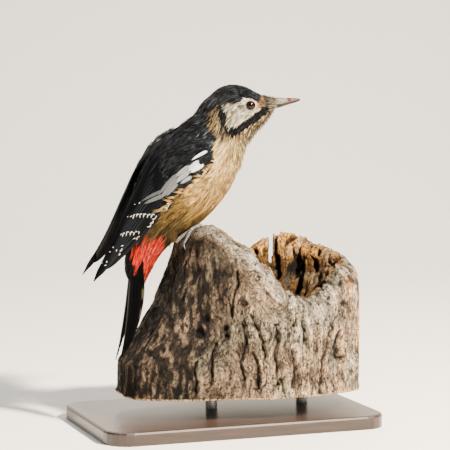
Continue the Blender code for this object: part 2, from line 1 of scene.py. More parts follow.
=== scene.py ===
"""Great spotted woodpecker, adult hen, on the broken top of a short cut trunk: skin, feathers and finish.

Lengths in the tables are in millimetres from GRIP, the top of the knob between the feet, and MM turns them
to metres. The bird faces +X and its right side is towards -Y.
"""
import math

import bmesh
import bpy
import numpy as np
from mathutils import Matrix, Vector
from mathutils.bvhtree import BVHTree
from mathutils.kdtree import KDTree


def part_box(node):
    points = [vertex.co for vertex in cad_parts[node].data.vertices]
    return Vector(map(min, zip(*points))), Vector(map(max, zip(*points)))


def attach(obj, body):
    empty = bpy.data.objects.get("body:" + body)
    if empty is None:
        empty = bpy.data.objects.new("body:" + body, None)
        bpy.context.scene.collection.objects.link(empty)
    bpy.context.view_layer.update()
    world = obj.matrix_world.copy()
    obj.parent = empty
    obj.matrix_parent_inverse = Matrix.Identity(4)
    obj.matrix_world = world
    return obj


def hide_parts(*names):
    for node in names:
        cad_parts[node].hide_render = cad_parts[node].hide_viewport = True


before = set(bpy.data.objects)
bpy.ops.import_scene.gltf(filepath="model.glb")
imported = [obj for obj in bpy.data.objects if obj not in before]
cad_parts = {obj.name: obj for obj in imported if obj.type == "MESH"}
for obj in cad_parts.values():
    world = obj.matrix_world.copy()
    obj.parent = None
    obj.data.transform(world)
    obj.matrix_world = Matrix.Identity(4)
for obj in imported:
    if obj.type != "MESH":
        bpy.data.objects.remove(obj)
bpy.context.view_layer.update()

MM = 0.001
FULL_TURN = 2 * math.pi
SIDES = {-1: "right", 1: "left"}  # by the sign of y
GRIP = np.array((-16.0, 0.0, 136.0))
HEAD_TURN = math.radians(-10.0)
NECK_PIVOT = np.array((14.0, 0.0, 0.0))
FULLNESS = 0.9  # power of the body's round sections: below 1 they are fuller than an ellipse
CHEEK = 0.09  # how much narrower the head is at its crown, and broader at its throat
COAT_DEPTH = 1.35  # from the skin out to the tips of the coat
TAIL_GAP = 0.15  # from the fan's middle to its innermost feather

# The body's outline by its sections from bill to tail: back point (x, z), front point (x, z), half width
# and the share of the head's turn.
SECTIONS = np.array([
    (47.6, 84.7, 51.2, 74.2, 5.2, 1.0),
    (43.6, 85.3, 48.6, 70.8, 7.4, 1.0),
    (38.0, 87.9, 44.8, 66.0, 9.8, 1.0),
    (29.6, 91.9, 40.8, 61.6, 11.9, 1.0),
    (20.0, 92.8, 37.2, 57.8, 13.4, 1.0),
    (11.6, 89.6, 35.2, 55.0, 14.2, 1.0),
    (5.4, 83.2, 33.4, 52.8, 14.4, 0.95),
    (1.0, 76.6, 31.9, 50.4, 14.8, 0.75),
    (-3.6, 70.2, 30.2, 46.4, 16.4, 0.4),
    (-13.0, 65.2, 28.2, 40.2, 18.6, 0.0),
    (-22.0, 58.6, 26.0, 33.4, 20.8, 0.0),
    (-31.0, 50.2, 20.8, 22.8, 22.2, 0.0),
    (-39.2, 39.4, 11.8, 11.2, 21.8, 0.0),
    (-44.8, 26.0, 1.2, 1.2, 19.6, 0.0),
    (-47.6, 12.0, -9.6, -5.6, 16.6, 0.0),
    (-49.4, -1.0, -20.0, -12.8, 13.2, 0.0),
    (-51.4, -12.5, -28.4, -21.2, 10.8, 0.0),
    (-53.0, -24.5, -34.0, -30.6, 8.8, 0.0),
    (-52.4, -33.0, -38.0, -38.2, 6.6, 0.0),
    (-47.0, -39.5, -40.6, -43.4, 2.6, 0.0),
])
LAST_SECTION = len(SECTIONS) - 1
# Sections at which one part of the coat ends and the next begins.
NASAL_END = 1.8
FOREHEAD_END = 3.5
FACE_END = 5.5
CHIN_END = 7.0
CROWN_END = 8.0
HEAD_END = 9.5
BREAST_END = 12.3
RUMP_START = 13.5
VENT_START = 13.6

# The right wing from shoulder to tip: upper edge, lower edge, bulge of its outer face, thickness.
BLADES = np.array([
    (1.5, -16.6, 54.0, 5.0, -18.8, 46.5, 0.6, 2.2),
    (-6.0, -13.2, 61.0, 0.8, -21.4, 38.0, 2.6, 5.0),
    (-18.0, -11.0, 59.4, -9.0, -23.4, 29.5, 4.2, 7.0),
    (-29.5, -9.2, 51.6, -20.6, -23.6, 20.0, 5.0, 7.4),
    (-39.0, -7.4, 38.8, -31.2, -22.0, 10.6, 4.8, 7.0),
    (-46.6, -5.4, 23.4, -39.8, -18.8, 0.4, 4.2, 6.0),
    (-53.8, -3.8, 8.4, -47.4, -15.4, -9.6, 3.4, 4.8),
    (-60.2, -3.4, -5.2, -55.2, -12.4, -17.6, 2.4, 3.6),
    (-66.6, -4.0, -17.4, -63.4, -9.8, -25.0, 1.5, 2.4),
    (-72.2, -5.2, -27.4, -70.6, -8.2, -31.0, 0.8, 1.6),
    (-76.8, -6.6, -35.8, -76.4, -7.4, -36.6, 0.2, 0.9),
])
WING_HINGE = np.array((-6.0, 0.0, 50.0))
LEFT_WING_LIFT = math.radians(2.6)

# Half of the tail: middle line (x, z), half width, thickness and forward bend of its edge, down to the tip.
FANS = np.array([
    (-43.2, -16.0, 4.6, 3.2, 0.6),
    (-46.0, -28.0, 9.2, 4.6, 2.4),
    (-47.4, -42.0, 12.2, 4.6, 3.8),
    (-49.4, -56.0, 12.6, 4.0, 4.0),
    (-52.2, -70.0, 11.4, 3.0, 3.4),
    (-55.0, -81.0, 8.8, 2.0, 2.2),
    (-58.2, -90.4, 6.0, 0.9, 1.0),
])
# The right thigh's middle line and radius.
THIGH = np.array([(-24.0, -7.0, 8.0, 6.4), (-24.0, -8.6, -2.0, 5.6), (-23.2, -10.6, -8.2, 3.8),
                  (-22.2, -11.8, -11.2, 2.3)])
# The bill in profile, head straight: x, top, mouth line, bottom, half width.
BILL = np.array([
    (44.0, 83.5, 77.8, 75.2, 4.3),
    (49.5, 83.4, 78.2, 75.6, 3.9),
    (55.0, 83.3, 78.9, 76.8, 3.1),
    (61.5, 83.1, 80.2, 78.8, 2.1),
    (66.5, 82.9, 81.4, 80.3, 1.25),
    (69.0, 82.6, 81.95, 81.3, 0.7),
])
HEEL = (-21.6, -11.9, -11.2)
FOOT_JOINT = (-4.2, -13.2, 1.2)
LEFT_FOOT_SHIFT = (-1.5, 0.0, -1.0)
TOES = {
    "inner_front": [(-1.6, -11.2, 1.0), (1.4, -9.6, 0.6), (4.6, -8.2, 0.2)],
    "outer_front": [(-1.4, -14.0, 1.0), (2.6, -14.8, 0.6), (6.8, -15.8, -0.2)],
    "inner_rear": [(-7.0, -11.2, -1.0), (-9.4, -9.8, -3.6), (-11.2, -8.8, -6.4)],
    "outer_rear": [(-7.0, -15.4, -0.6), (-11.4, -17.2, -3.8), (-15.8, -18.0, -8.6)],
}

# The markings are drawn on a plane square to this bearing, 20 degrees behind the bird's right side, as
# (across, up) from the middle of the whole model; the left side mirrors them.
PAINT_BEARING, PAINT_HEIGHT, PAINT_DISTANCE = math.radians(-20.0), math.radians(5.0), 1256.0
PAINT_MIDDLE = np.array((15.74, -5.73, -1.6))


def drawn(*points):
    """A marking's outline, from pairs in millimetres."""
    return np.array(points).reshape(-1, 2)


CROWN = drawn(
    (24.8, 97.2), (24.8, 88.1), (23.2, 86.8), (23.2, 83.8), (22.4, 81.6), (21.2, 82.4), (18.8, 84.3),
    (15.9, 85.5), (12.7, 85.4), (11.1, 84.8), (8.6, 82.7), (7.0, 81.1), (-4.0, 81.3), (-7.2, 80.7),
    (-7.8, 77.9), (-8.6, 76.4), (-11.0, 73.8), (-12.2, 69.0), (-12.9, 67.6), (-13.9, 63.6), (-50.2, 50.2),
    (-50.2, 110.6),
)
MANTLE = drawn(
    (-12.0, 69.0), (-13.0, 64.5), (-10.0, 62.6), (-7.2, 59.2), (-4.4, 55.9), (-7.6, 54.3), (-8.0, 50.9),
    (-8.0, 44.9), (-12.7, 38.9), (-19.4, 26.8), (-28.8, 14.7), (-38.2, 6.0), (-46.2, -4.7), (-55.6, -14.1),
    (-63.7, -16.8), (-97.2, -43.6), (-110.6, 16.8), (-30.2, 90.5),
)
FOREHEAD = drawn(
    (22.4, 88.4), (26.1, 86.8), (26.4, 82.4), (25.7, 78.1), (23.1, 77.4), (21.1, 78.4), (22.5, 81.7),
    (23.2, 84.4),
)
NASAL = drawn(
    (24.9, 90.5), (33.5, 88.4), (34.2, 75.0), (27.1, 74.7), (25.2, 77.4), (26.0, 81.1), (25.3, 85.1),
)
CHEEK_PATCH = drawn(
    (22.5, 83.1), (22.4, 79.7), (24.1, 77.1), (21.2, 73.5), (16.1, 69.3), (12.1, 66.3), (8.0, 63.0),
    (4.0, 61.0), (1.7, 63.7), (-0.3, 70.4), (-2.7, 79.7), (-2.0, 83.1), (10.1, 87.1), (18.1, 87.1),
)
NECK_PATCH = drawn(
    (-7.2, 80.7), (-2.7, 80.7), (-2.3, 75.7), (-1.3, 70.4), (-1.0, 65.7), (1.3, 61.0), (4.0, 56.3),
    (2.0, 52.3), (-4.4, 54.9), (-7.2, 58.6), (-10.6, 62.2), (-13.9, 63.6), (-12.9, 67.6), (-12.2, 69.0),
    (-11.0, 73.8), (-8.6, 76.4), (-7.8, 77.9),
)
VENT = drawn(
    (-52.6, -7.0), (-48.9, -8.7), (-44.9, -9.7), (-40.5, -12.4), (-42.2, -17.4), (-45.2, -23.5),
    (-48.4, -28.8), (-50.6, -33.5), (-52.6, -37.5), (-54.9, -36.2), (-59.0, -30.8), (-64.3, -20.8),
    (-66.3, -12.7),
)
# Two black lines with their half widths: the one from the bill under the cheek, and the one behind the ear.
STRIPE = drawn(
    (27.6, 76.6), (24.6, 74.4), (21.4, 71.8), (18.4, 69.4), (15.0, 67.2), (11.9, 64.6), (8.2, 61.6),
    (4.0, 59.8),
)
STRIPE_HALF = 2.25
EAR_BAR = drawn(
    (-4.6, 78.6), (-2.6, 75.4), (-1.4, 73.0), (-1.6, 70.2), (-1.2, 66.4), (0.4, 62.4), (3.4, 59.6),
)
EAR_BAR_HALF = 2.5
# The wing's white patch by (blade, share of the chord).
WING_PATCH = drawn(
    (1.01, 0.57), (1.63, 0.52), (2.04, 0.55), (2.38, 0.66), (3.04, 0.61), (3.53, 0.67), (4.01, 0.66),
    (4.88, 0.39), (4.88, 0.52), (4.19, 0.78), (4.01, 0.83), (3.55, 0.88), (3.21, 0.81), (2.76, 0.89),
    (2.34, 0.92), (2.4, 0.77), (2.26, 0.81), (1.57, 0.84), (1.63, 0.75), (1.86, 0.64), (1.25, 0.64),
)
# White flecks in rows across the flight feathers: first (blade, share), last (blade, share), how many, and
# length in millimetres.
WING_FLECKS = [
    (5.3, 0.32, 5.02, 0.42, 2, 1.4), (5.93, 0.3, 5.93, 0.3, 1, 1.5), (5.65, 0.42, 4.54, 0.94, 14, 2.5),
    (4.74, 0.95, 5.18, 0.97, 5, 2.3), (6.67, 0.41, 5.75, 0.85, 10, 2.3), (6.15, 0.88, 5.87, 0.93, 3, 2.0),
    (6.96, 0.73, 7.34, 0.83, 4, 2.0), (7.46, 0.4, 7.36, 0.61, 2, 1.7), (7.8, 0.37, 7.8, 0.37, 1, 1.4),
    (8.63, 0.23, 8.29, 0.54, 2, 1.6), (8.49, 0.69, 8.49, 0.69, 1, 1.8), (3.74, 0.95, 3.95, 0.99, 4, 2.5),
]


# ---------------------------------------------------------------- small tools


def linear(hex_colour):
    """An sRGB hex colour as three linear numbers."""
    parts = np.array([int(hex_colour[i : i + 2], 16) / 255 for i in (1, 3, 5)])
    return np.where(parts <= 0.04045, parts / 12.92, ((parts + 0.055) / 1.055) ** 2.4)


def unit(vectors):
    """Vectors brought to a length of 1."""
    return vectors / np.maximum(np.linalg.norm(vectors, axis=-1, keepdims=True), 1e-12)


def smooth_read(table, at):
    """A table's rows read at fractional places on a smooth curve through them."""
    at = np.asarray(at, float)
    row = np.clip(at.astype(int), 0, len(table) - 2)
    s = at - row
    weights = (-s + 2 * s**2 - s**3, 2 - 5 * s**2 + 3 * s**3, s + 4 * s**2 - 3 * s**3, s**3 - s**2)
    rows = [table[np.clip(row + k, 0, len(table) - 1)] for k in (-1, 0, 1, 2)]
    return sum(0.5 * w[..., None] * r for w, r in zip(weights, rows))


def lattice(cells, seed):
    """A repeatable number from 0 to 1 for each whole-number cell."""
    n = cells.astype(np.int64)
    h = n[..., 0] * 374761393 + n[..., 1] * 668265263 + n[..., 2] * 974634777 + seed * 1274126177
    h = (h ^ (h >> 13)) * 1274126177
    return ((h ^ (h >> 16)) & 0xFFFF) / 65535.0


def noise(points, size, seed):
    """Smooth noise from 0 to 1 with lumps of a size, or of three sizes."""
    q = points / np.asarray(size, float)
    base = np.floor(q)
    f = q - base
    f = f * f * (3 - 2 * f)
    total = 0.0
    for corner in np.ndindex(2, 2, 2):
        weight = np.prod(np.where(np.array(corner) == 1, f, 1 - f), axis=-1)
        total = total + weight * lattice(base + np.array(corner), seed)
    return total


def blend(low, high, share):
    """A smooth step from 0 at low to 1 at high."""
    t = np.clip((share - low) / (high - low), 0.0, 1.0)
    return t * t * (3 - 2 * t)


def mixed(colour, other, share):
    """Colours moved towards another by a share for each."""
    return colour + (other - colour) * np.asarray(share)[..., None]


def tinted(pair, share):
    """Colours between a darker and a lighter one, by a share for each."""
    return mixed(linear(pair[0]), linear(pair[1]), share)


def mound(spots, middle, spread):
    """A soft round patch on the paint plane: 1 at its middle, falling off over its spread."""
    return np.exp(-np.sum(((spots - middle) / spread) ** 2, axis=-1))


def inside(outline, spots):
    """Which (across, up) spots lie inside a closed outline."""
    x, y = spots[..., 0], spots[..., 1]
    hit = np.zeros(x.shape, bool)
    for (x1, y1), (x2, y2) in zip(outline, np.roll(outline, -1, axis=0)):
        crosses = (y1 > y) != (y2 > y)
        reach = x1 + (y - y1) * (x2 - x1) / (y2 - y1 if y2 != y1 else 1e-9)
        hit ^= crosses & (x < reach)
    return hit


def distance_to(line, spots):
    """How far each spot is from an open line."""
    best = np.full(spots.shape[:-1], 1e9)
    for a, b in zip(line, line[1:]):
        share = np.clip(((spots - a) @ (b - a)) / ((b - a) @ (b - a)), 0, 1)
        best = np.minimum(best, np.linalg.norm(spots - a - share[..., None] * (b - a), axis=-1))
    return best


# ---------------------------------------------------------------- the bird's surfaces, in metres


def placed(points):
    """Millimetres from GRIP as metres in the shared frame."""
    return (GRIP + points) * MM


def head_turned(points, share):
    """Points turned about the upright through the neck by a share of the head's turn."""
    angle = HEAD_TURN * share
    x, y = points[..., 0] - NECK_PIVOT[0], points[..., 1]
    cos, sin = np.cos(angle), np.sin(angle)
    return np.stack([x * cos - y * sin + NECK_PIVOT[0], x * sin + y * cos, points[..., 2]], axis=-1)


def body_surface(at, angle, inset=COAT_DEPTH):
    """The skin from bill (0) to vent, and round from the back (0) by the right side."""
    row = smooth_read(SECTIONS, np.clip(at, 0, LAST_SECTION))
    back, front, half_width, share = row[..., 0:2], row[..., 2:4], row[..., 4], row[..., 5]
    middle, arm = (back + front) / 2, (back - front) / 2
    arm = arm * (1 - inset / np.maximum(np.linalg.norm(arm, axis=-1, keepdims=True), inset + 0.5))
    up = np.sign(np.cos(angle)) * np.abs(np.cos(angle)) ** FULLNESS
    side = np.sign(np.sin(angle)) * np.abs(np.sin(angle)) ** FULLNESS
    width = np.maximum(half_width - inset, 0.5) * side * (1.0 - CHEEK * share * up)
    flat = middle + arm * up[..., None]
    return placed(head_turned(np.stack([flat[..., 0], -width, flat[..., 1]], axis=-1), share))


def wing_side(points, side):
    """The right wing's points, or their mirror lifted about the hinge for the left wing."""
    if side < 0:
        return points
    x, y, z = np.moveaxis(points * (1, -1, 1) - WING_HINGE, -1, 0)
    cos, sin = math.cos(LEFT_WING_LIFT), math.sin(LEFT_WING_LIFT)
    return np.stack([x * cos + z * sin, y, -x * sin + z * cos], axis=-1) + WING_HINGE


def wing_layer(at, share, side, depth, inner=False):
    """The wing's outer face sunk by a depth, or its inner face."""
    at = np.clip(at, 0.0, len(BLADES) - 1.0)
    step = np.where(at < len(BLADES) - 1.1, 0.05, -0.05)
    row, beyond = smooth_read(BLADES, at), smooth_read(BLADES, at + step)
    upper, lower, bulge, thickness = row[..., 0:3], row[..., 3:6], row[..., 6], row[..., 7]
    ahead = (beyond[..., 0:3] + beyond[..., 3:6] - upper - lower) * np.sign(step)[..., None]
    out = unit(np.cross(ahead, lower - upper))
    out *= -np.sign(out[..., 1:2])
    arch = np.sin(math.pi * np.clip(share, 0.0, 1.0))
    outer_lift = bulge * arch + 0.3 * thickness * arch**0.5 - depth
    inner_lift = bulge * arch - 0.7 * thickness * arch**0.5 - 0.2
    lift = np.where(inner, inner_lift, outer_lift)
    return placed(wing_side(upper + (lower - upper) * share[..., None] + out * lift[..., None], side))


def wing_surface(side, depth):
    """The outer face of a wing as a reading of (at, share)."""
    return lambda at, share: wing_layer(at, share, side, depth)


def chord_at(at):
    """The folded wing's width in millimetres."""
    row = smooth_read(BLADES, np.clip(at, 0.0, len(BLADES) - 1.0))
    return np.linalg.norm(row[..., 0:3] - row[..., 3:6], axis=-1)


def tail_surface(side, depth):
    """The fanned tail's back sunk by a depth: root (0) to tip along it, middle (0) to edge (1) across."""

    def read(at, share):
        x, z, half_width, thickness, droop = np.moveaxis(smooth_read(FANS, np.clip(at, 0, 6)), -1, 0)
        across = TAIL_GAP + (half_width - TAIL_GAP) * share
        out = (thickness / 2 - depth) * (1.0 - 0.5 * np.abs(share) ** 3)
        return placed(np.stack([x - out + droop * share**2, side * across, z], axis=-1))

    return read


def thigh_surface(side, inset=0.8):
    """The feathered thigh, round its middle line."""
    line = THIGH[:, :3].copy()
    if side > 0:
        line = line * (1, -1, 1) + np.array(LEFT_FOOT_SHIFT)

    def read(at, angle):
        middle = smooth_read(line, at)
        along = unit(smooth_read(line, at + 0.05) - smooth_read(line, at - 0.05))
        one = unit(np.cross(along, np.array((0.0, 1.0, 0.0))))
        two = np.cross(along, one)
        radius = smooth_read(THIGH[:, 3:4], at)[..., 0] - inset
        out = one * np.cos(angle)[..., None] + two * np.sin(angle)[..., None]
        return placed(middle + radius[..., None] * out)

    return read


# ---------------------------------------------------------------- markings


def outward_way(bearing, height):
    """The way from the model towards a bearing and a height, both in radians."""
    return np.array((
        math.sin(bearing) * math.cos(height), -math.cos(bearing) * math.cos(height), math.sin(height),
    ))


def on_paint_plane(points):
    """Points in metres as (across, up) in millimetres on the plane that the markings are drawn on."""
    back = outward_way(PAINT_BEARING, PAINT_HEIGHT)
    right = np.array((math.cos(PAINT_BEARING), math.sin(PAINT_BEARING), 0.0))
    up = np.cross(back, right)
    q = points / MM - GRIP - PAINT_MIDDLE - back * PAINT_DISTANCE
    reach = PAINT_DISTANCE / -(q @ back)
    return np.stack([(q @ right) * reach, (q @ up) * reach], axis=-1)


REGIONS = ["pale", "crown", "mantle", "forehead", "nasal", "cheek", "stripe", "neck_patch", "vent", "rump"]
REGION = {name: number for number, name in enumerate(REGIONS)}
BLACK_REGIONS = [REGION[name] for name in ("crown", "mantle", "stripe", "rump")]
MARK_RAGGEDNESS = 0.7  # how far a marking's edge strays, in millimetres


def region_of(at, angle):
    """Which marking each place of the body is in, with edges made uneven by a little noise."""
    angle = np.mod(angle, FULL_TURN)
    right = np.where(angle > math.pi, FULL_TURN - angle, angle)
    points = body_surface(at, right, 0.0)
    wobble = np.stack([noise(points, 0.0016, seed) for seed in (3, 4)], axis=-1) - 0.5
    spots = on_paint_plane(points) + wobble * 2 * MARK_RAGGEDNESS
    found = np.zeros(at.shape, int)
    beside = np.sin(right) * smooth_read(SECTIONS, np.clip(at, 0, LAST_SECTION))[..., 4]
    head = at < HEAD_END
    upper = np.cos(right) > 0.45

    def mark(name, where):
        found[where] = REGION[name]

    mark("rump", (at > RUMP_START) & upper)
    mark("vent", inside(VENT, spots) & (at > VENT_START) | (at > 15.4) & ~upper)
    mark("mantle", inside(MANTLE, spots) & (at > CHIN_END) & ~((at > 15.0) & ~upper))
    mark("neck_patch", inside(NECK_PATCH, spots) & head)
    mark("stripe", (found == REGION["neck_patch"]) & (noise(points, 0.002, 14) > 0.64))
    mark("cheek", inside(CHEEK_PATCH, spots) & head)
    mark("crown", inside(CROWN, spots) & head)
    mark("forehead", inside(FOREHEAD, spots) & (at < FOREHEAD_END))
    mark("nasal", inside(NASAL, spots) & (at < NASAL_END) & (np.cos(right) > -0.5))
    beneath = (np.cos(right) < 0.3) & (beside > 2.6)
    mottle = 0.2 + 1.6 * noise(points, 0.0018, 6)
    broad = STRIPE_HALF + 0.9 * blend(17, 3, spots[..., 0])
    mark("stripe", (distance_to(STRIPE, spots) < broad * (0.6 + 0.5 * mottle)) & head & beneath)
    mark("stripe", (distance_to(EAR_BAR, spots) < EAR_BAR_HALF * mottle) & head & (beside > 3.0))
    return found


# Each marking's two colours, between which single feathers vary; in black ones the lighter is a painted
# highlight.
COAT_COLOURS = {
    "crown": ("#010101", "#444B54"),
    "mantle": ("#010101", "#5A646F"),
    "forehead": ("#2E1E0E", "#A07A50"),
    "nasal": ("#14100C", "#7D766B"),
    "cheek": ("#8A7244", "#FFFFF0"),
    "stripe": ("#020203", "#23262A"),
    "neck_patch": ("#110C07", "#A08660"),
    "vent": ("#8A0A00", "#FF3004"),
    "rump": ("#020202", "#1E2126"),
}
# The pale underside by section: from the chin down to the belly; the chin and throat rows are darkened as
# painted shade.
UNDERSIDE = [(0.0, "#261A0D", "#CDB88E"), (4.5, "#342412", "#ECD6A8"), (8.5, "#A07A40", "#FFE6AC"),
             (11.5, "#74521F", "#EEC67E"), (12.7, "#30200B", "#AE8A46"), (13.8, "#100B04", "#66522A"),
             (15.0, "#0C0803", "#544426"), (19.0, "#4A2C12", "#B07C4C")]


def coat_colour(at, angle, region, share):
    """Each feather's colour: `share` from 0 to 1 picks between its marking's darker and lighter colour."""
    places, darker, lighter = zip(*UNDERSIDE)
    colour = np.zeros(at.shape + (3,))
    for channel in range(3):
        low = np.interp(at, places, [linear(tone)[channel] for tone in darker])
        high = np.interp(at, places, [linear(tone)[channel] for tone in lighter])
        colour[..., channel] = low + (high - low) * share
    for name, pair in COAT_COLOURS.items():
        here = region == REGION[name]
        colour[here] = tinted(pair, share[here])
    turn = np.mod(angle, FULL_TURN)
    points = body_surface(at, angle, 0.0)
    spots = on_paint_plane(body_surface(at, np.where(turn > math.pi, -angle, angle), 0.0))
    cheek, neck, vent = (region == REGION[name] for name in ("cheek", "neck_patch", "vent"))
    colour[cheek] *= cheek_shade(points, spots)[cheek][:, None]
    colour = mixed(colour, linear("#6B6450"), 0.7 * blend(0.5, 0.75, noise(points, 0.0022, 38)) * neck)
    colour = mixed(colour, linear("#C08A4C"), 0.85 * mound(spots, (21.6, 79.0), (2.0, 2.8)) * cheek)
    colour = mixed(colour, linear("#B98378"), 0.3 * blend(0.52, 0.7, noise(points, 0.0022, 21)) * vent)
    strand = noise(np.stack([at * 2.2, turn * 12.0, at * 0], axis=-1), 1.0, 33)
    # On the throat the locks get deeper dark gaps: painted shade under the head.
    throat = (at < CHIN_END) & (np.cos(angle) < -0.2)
    depth = 0.75 + 1.1 * cheek + 1.3 * throat + 0.5 * neck
    patch = (0.82 + 0.36 * noise(points, 0.006, 8)) * (1 - 0.5 * depth + depth * strand)
    return np.clip(colour * patch[..., None], 0.0, 0.95)


def cheek_shade(points, spots):
    """The cheek's light and shade: whiter low down, dusky behind the eye, flecked towards the ear."""
    whiter = mound(spots, (7.0, 68.5), (5.0, 3.2))
    dusky = mound(spots, (7.5, 76.5), (5.5, 3.2))
    behind = blend(9.0, -1.0, spots[..., 0]) * blend(68.0, 76.0, spots[..., 1])
    flecks = blend(0.56, 0.7, noise(points, 0.0012, 36)) * (0.25 + 0.65 * behind)
    return (1.0 + 0.35 * whiter - 0.5 * dusky) * (0.5 + noise(points, 0.0024, 35)) * (1 - flecks)


# ---------------------------------------------------------------- feathers

NUDGE = 0.01  # a small step of a surface's reading, to take its slopes
LINE_ROWS = 4  # steps along a feather's line
BARB_ROWS = 2  # steps along a barb
VANE_COLUMNS = 6  # steps across a long feather
UNWRAP_PATCH = 0.0015  # half the width of a feather's patch of the unwrap


class Shape:
    """A small closed mesh in feather terms: across (-1 to 1), along (0 to 1) and up, as arrays."""

    def __init__(self, bm, rows, across, up_width, up_thick):
        bmesh.ops.triangulate(bm, faces=bm.faces[:])
        bm.verts.index_update()
        places = np.array([v.co[:] for v in bm.verts])
        self.rows = rows
        self.row = np.rint(np.clip(places[:, 1] + 0.5, 0, 1) * rows).astype(int)
        self.along = self.row / rows
        self.across = across(places, self.along)
        self.up_width = up_width(places, self.along)
        self.up_thick = up_thick(places)
        # Sorted, because the faces of a thickened sheet's rim come in another order on each run.
        self.faces = np.array(sorted([v.index for v in face.verts] for face in bm.faces))
        bm.free()


def vane_shape(outline, rows, camber, rib):
    """A thin cambered blade with a raised rib; `outline` gives its half width along its length."""
    bm = bmesh.new()
    bmesh.ops.create_grid(bm, x_segments=VANE_COLUMNS, y_segments=rows, size=0.5)
    bmesh.ops.solidify(bm, geom=bm.faces[:], thickness=0.1)
    level = [v.co.z for v in bm.verts]
    split = (min(level) + max(level)) / 2
    return Shape(
        bm,
        rows,
        lambda p, along: 2 * p[:, 0] * outline(along),
        lambda p, along: camber * (1 - (2 * p[:, 0]) ** 2) * outline(along),
        lambda p: np.where(p[:, 2] > split, 0.5, -0.5) + rib * (np.abs(p[:, 0]) < 0.1) * (p[:, 2] > split),
    )


def barb_shape():
    """A tapering three-sided lock of a few barbs, flattened, closed at both ends."""
    bm = bmesh.new()
    bmesh.ops.create_cone(bm, cap_ends=True, segments=3, radius1=1.0, radius2=1.0, depth=1.0)
    bmesh.ops.rotate(bm, verts=bm.verts[:], matrix=Matrix.Rotation(math.radians(-90), 3, "X"))
    for row in range(1, BARB_ROWS):
        geometry, middle = bm.verts[:] + bm.edges[:] + bm.faces[:], (0, row / BARB_ROWS - 0.5, 0)
        bmesh.ops.bisect_plane(bm, geom=geometry, plane_co=middle, plane_no=(0, 1, 0))

    def taper(along):
        return np.interp(along, (0.0, 0.45, 1.0), (0.6, 1.0, 0.07))

    return Shape(
        bm,
        BARB_ROWS,
        lambda p, along: p[:, 0] * taper(along),
        lambda p, along: 0.45 * p[:, 2] * taper(along),
        lambda p: np.zeros(len(p)),
    )


def long_tip(along):
    """Half width of a feather that keeps its width almost to a rounded tip."""
    return np.minimum(1.0, 0.5 + along * 3) * np.sqrt(1 - np.clip((along - 0.82) / 0.185, 0, 1) ** 2)


def pointed_tip(along):
    """Half width of a feather that narrows to a point."""
    return np.minimum(1.0, 0.4 + along * 3) * (1.005 - np.clip((along - 0.35) / 0.65, 0, 1) ** 1.9)


def bearings(surface, at, across, flip):
    """Points of a surface, outward normals, and how a step of each reading moves the point."""
    along = (surface(at + NUDGE, across) - surface(at - NUDGE, across)) / (2 * NUDGE)
    around = (surface(at, across + NUDGE) - surface(at, across - NUDGE)) / (2 * NUDGE)
    return surface(at, across), unit(np.cross(along, around)) * flip, along, around


def lay(surface, at, across, length, swing, lift, rise, flip=1.0):
    """Feather lines from each root back along the surface: points, directions, sides and normals."""
    points, normals = [], []
    at, across = np.array(at, float), np.array(across, float)
    stride = length / LINE_ROWS
    for row in range(LINE_ROWS + 1):
        here, normal, along, around = bearings(surface, at, across, flip)
        points.append(here + normal * (lift + rise * (row / LINE_ROWS) ** 1.4)[:, None])
        normals.append(normal)
        at = at + np.cos(swing) * stride / np.maximum(np.linalg.norm(along, axis=-1), 1e-4)
        across = across + np.sin(swing) * stride / np.maximum(np.linalg.norm(around, axis=-1), 1e-4)
    points, normals = np.stack(points, axis=1), np.stack(normals, axis=1)
    ways = unit(np.gradient(points, axis=1))
    return [points, ways, unit(np.cross(normals, ways)) * flip, normals]


def kept(path, mask):
    """The feather lines that a mask picks."""
    return [array[mask] for array in path]


def barbs_of(path, count, spread, fan, rng, shortest=0.68):
    """Each feather line split into barbs that fan out a little; also which feather each is from."""
    n, last = path[0].shape[0], path[0].shape[1] - 1
    who = np.repeat(np.arange(n), count)
    place = (np.tile(np.arange(count), n) + 0.5) / count * 2 - 1 + rng.normal(0, 0.12, n * count)
    far = rng.uniform(shortest, 1.0, n * count) * (1 - 0.15 * np.clip(np.abs(place), 0, 1) ** 2)
    reading = np.linspace(0, 1, BARB_ROWS + 1)[None] * far[:, None]
    low = np.minimum((reading * last).astype(int), last - 1)
    part = (reading * last - low)[..., None]
    read = [a[who[:, None], low] * (1 - part) + a[who[:, None], low + 1] * part for a in path]
    reach = spread[who][:, None] * place[:, None] * (0.45 + fan * reading)
    height = rng.uniform(-0.1, 0.22, n * count)[:, None] * reading * MM
    read[0] = read[0] + read[2] * reach[..., None] + read[3] * height[..., None]
    read[1] = unit(np.gradient(read[0], axis=1))
    across = np.cross(read[3], read[1])
    read[2] = unit(across) * np.sign(np.sum(read[2] * across, axis=-1))[..., None]
    return read, who


# The finish and the slot of the coat's pieces by how their names start; any other is soft and buff.
COAT_KINDS = {
    "head_black": ("glossy_plumage", "head_plumage"),
    "face": ("soft_plumage", "head_plumage"),
    "nasal": ("soft_plumage", "head_plumage"),
    "back": ("glossy_plumage", "black_plumage"),
    "wing_coverts": ("glossy_plumage", "black_plumage"),
    "flight": ("flight_feather", "black_plumage"),
    "tail": ("flight_feather", "black_plumage"),
    "vent": ("soft_plumage", "red_plumage"),
}


def coat_kind(name):
    """The finish and the slot of a coat piece."""
    kinds = (kind for start, kind in COAT_KINDS.items() if name.startswith(start))
    return next(kinds, ("soft_plumage", "buff_plumage"))


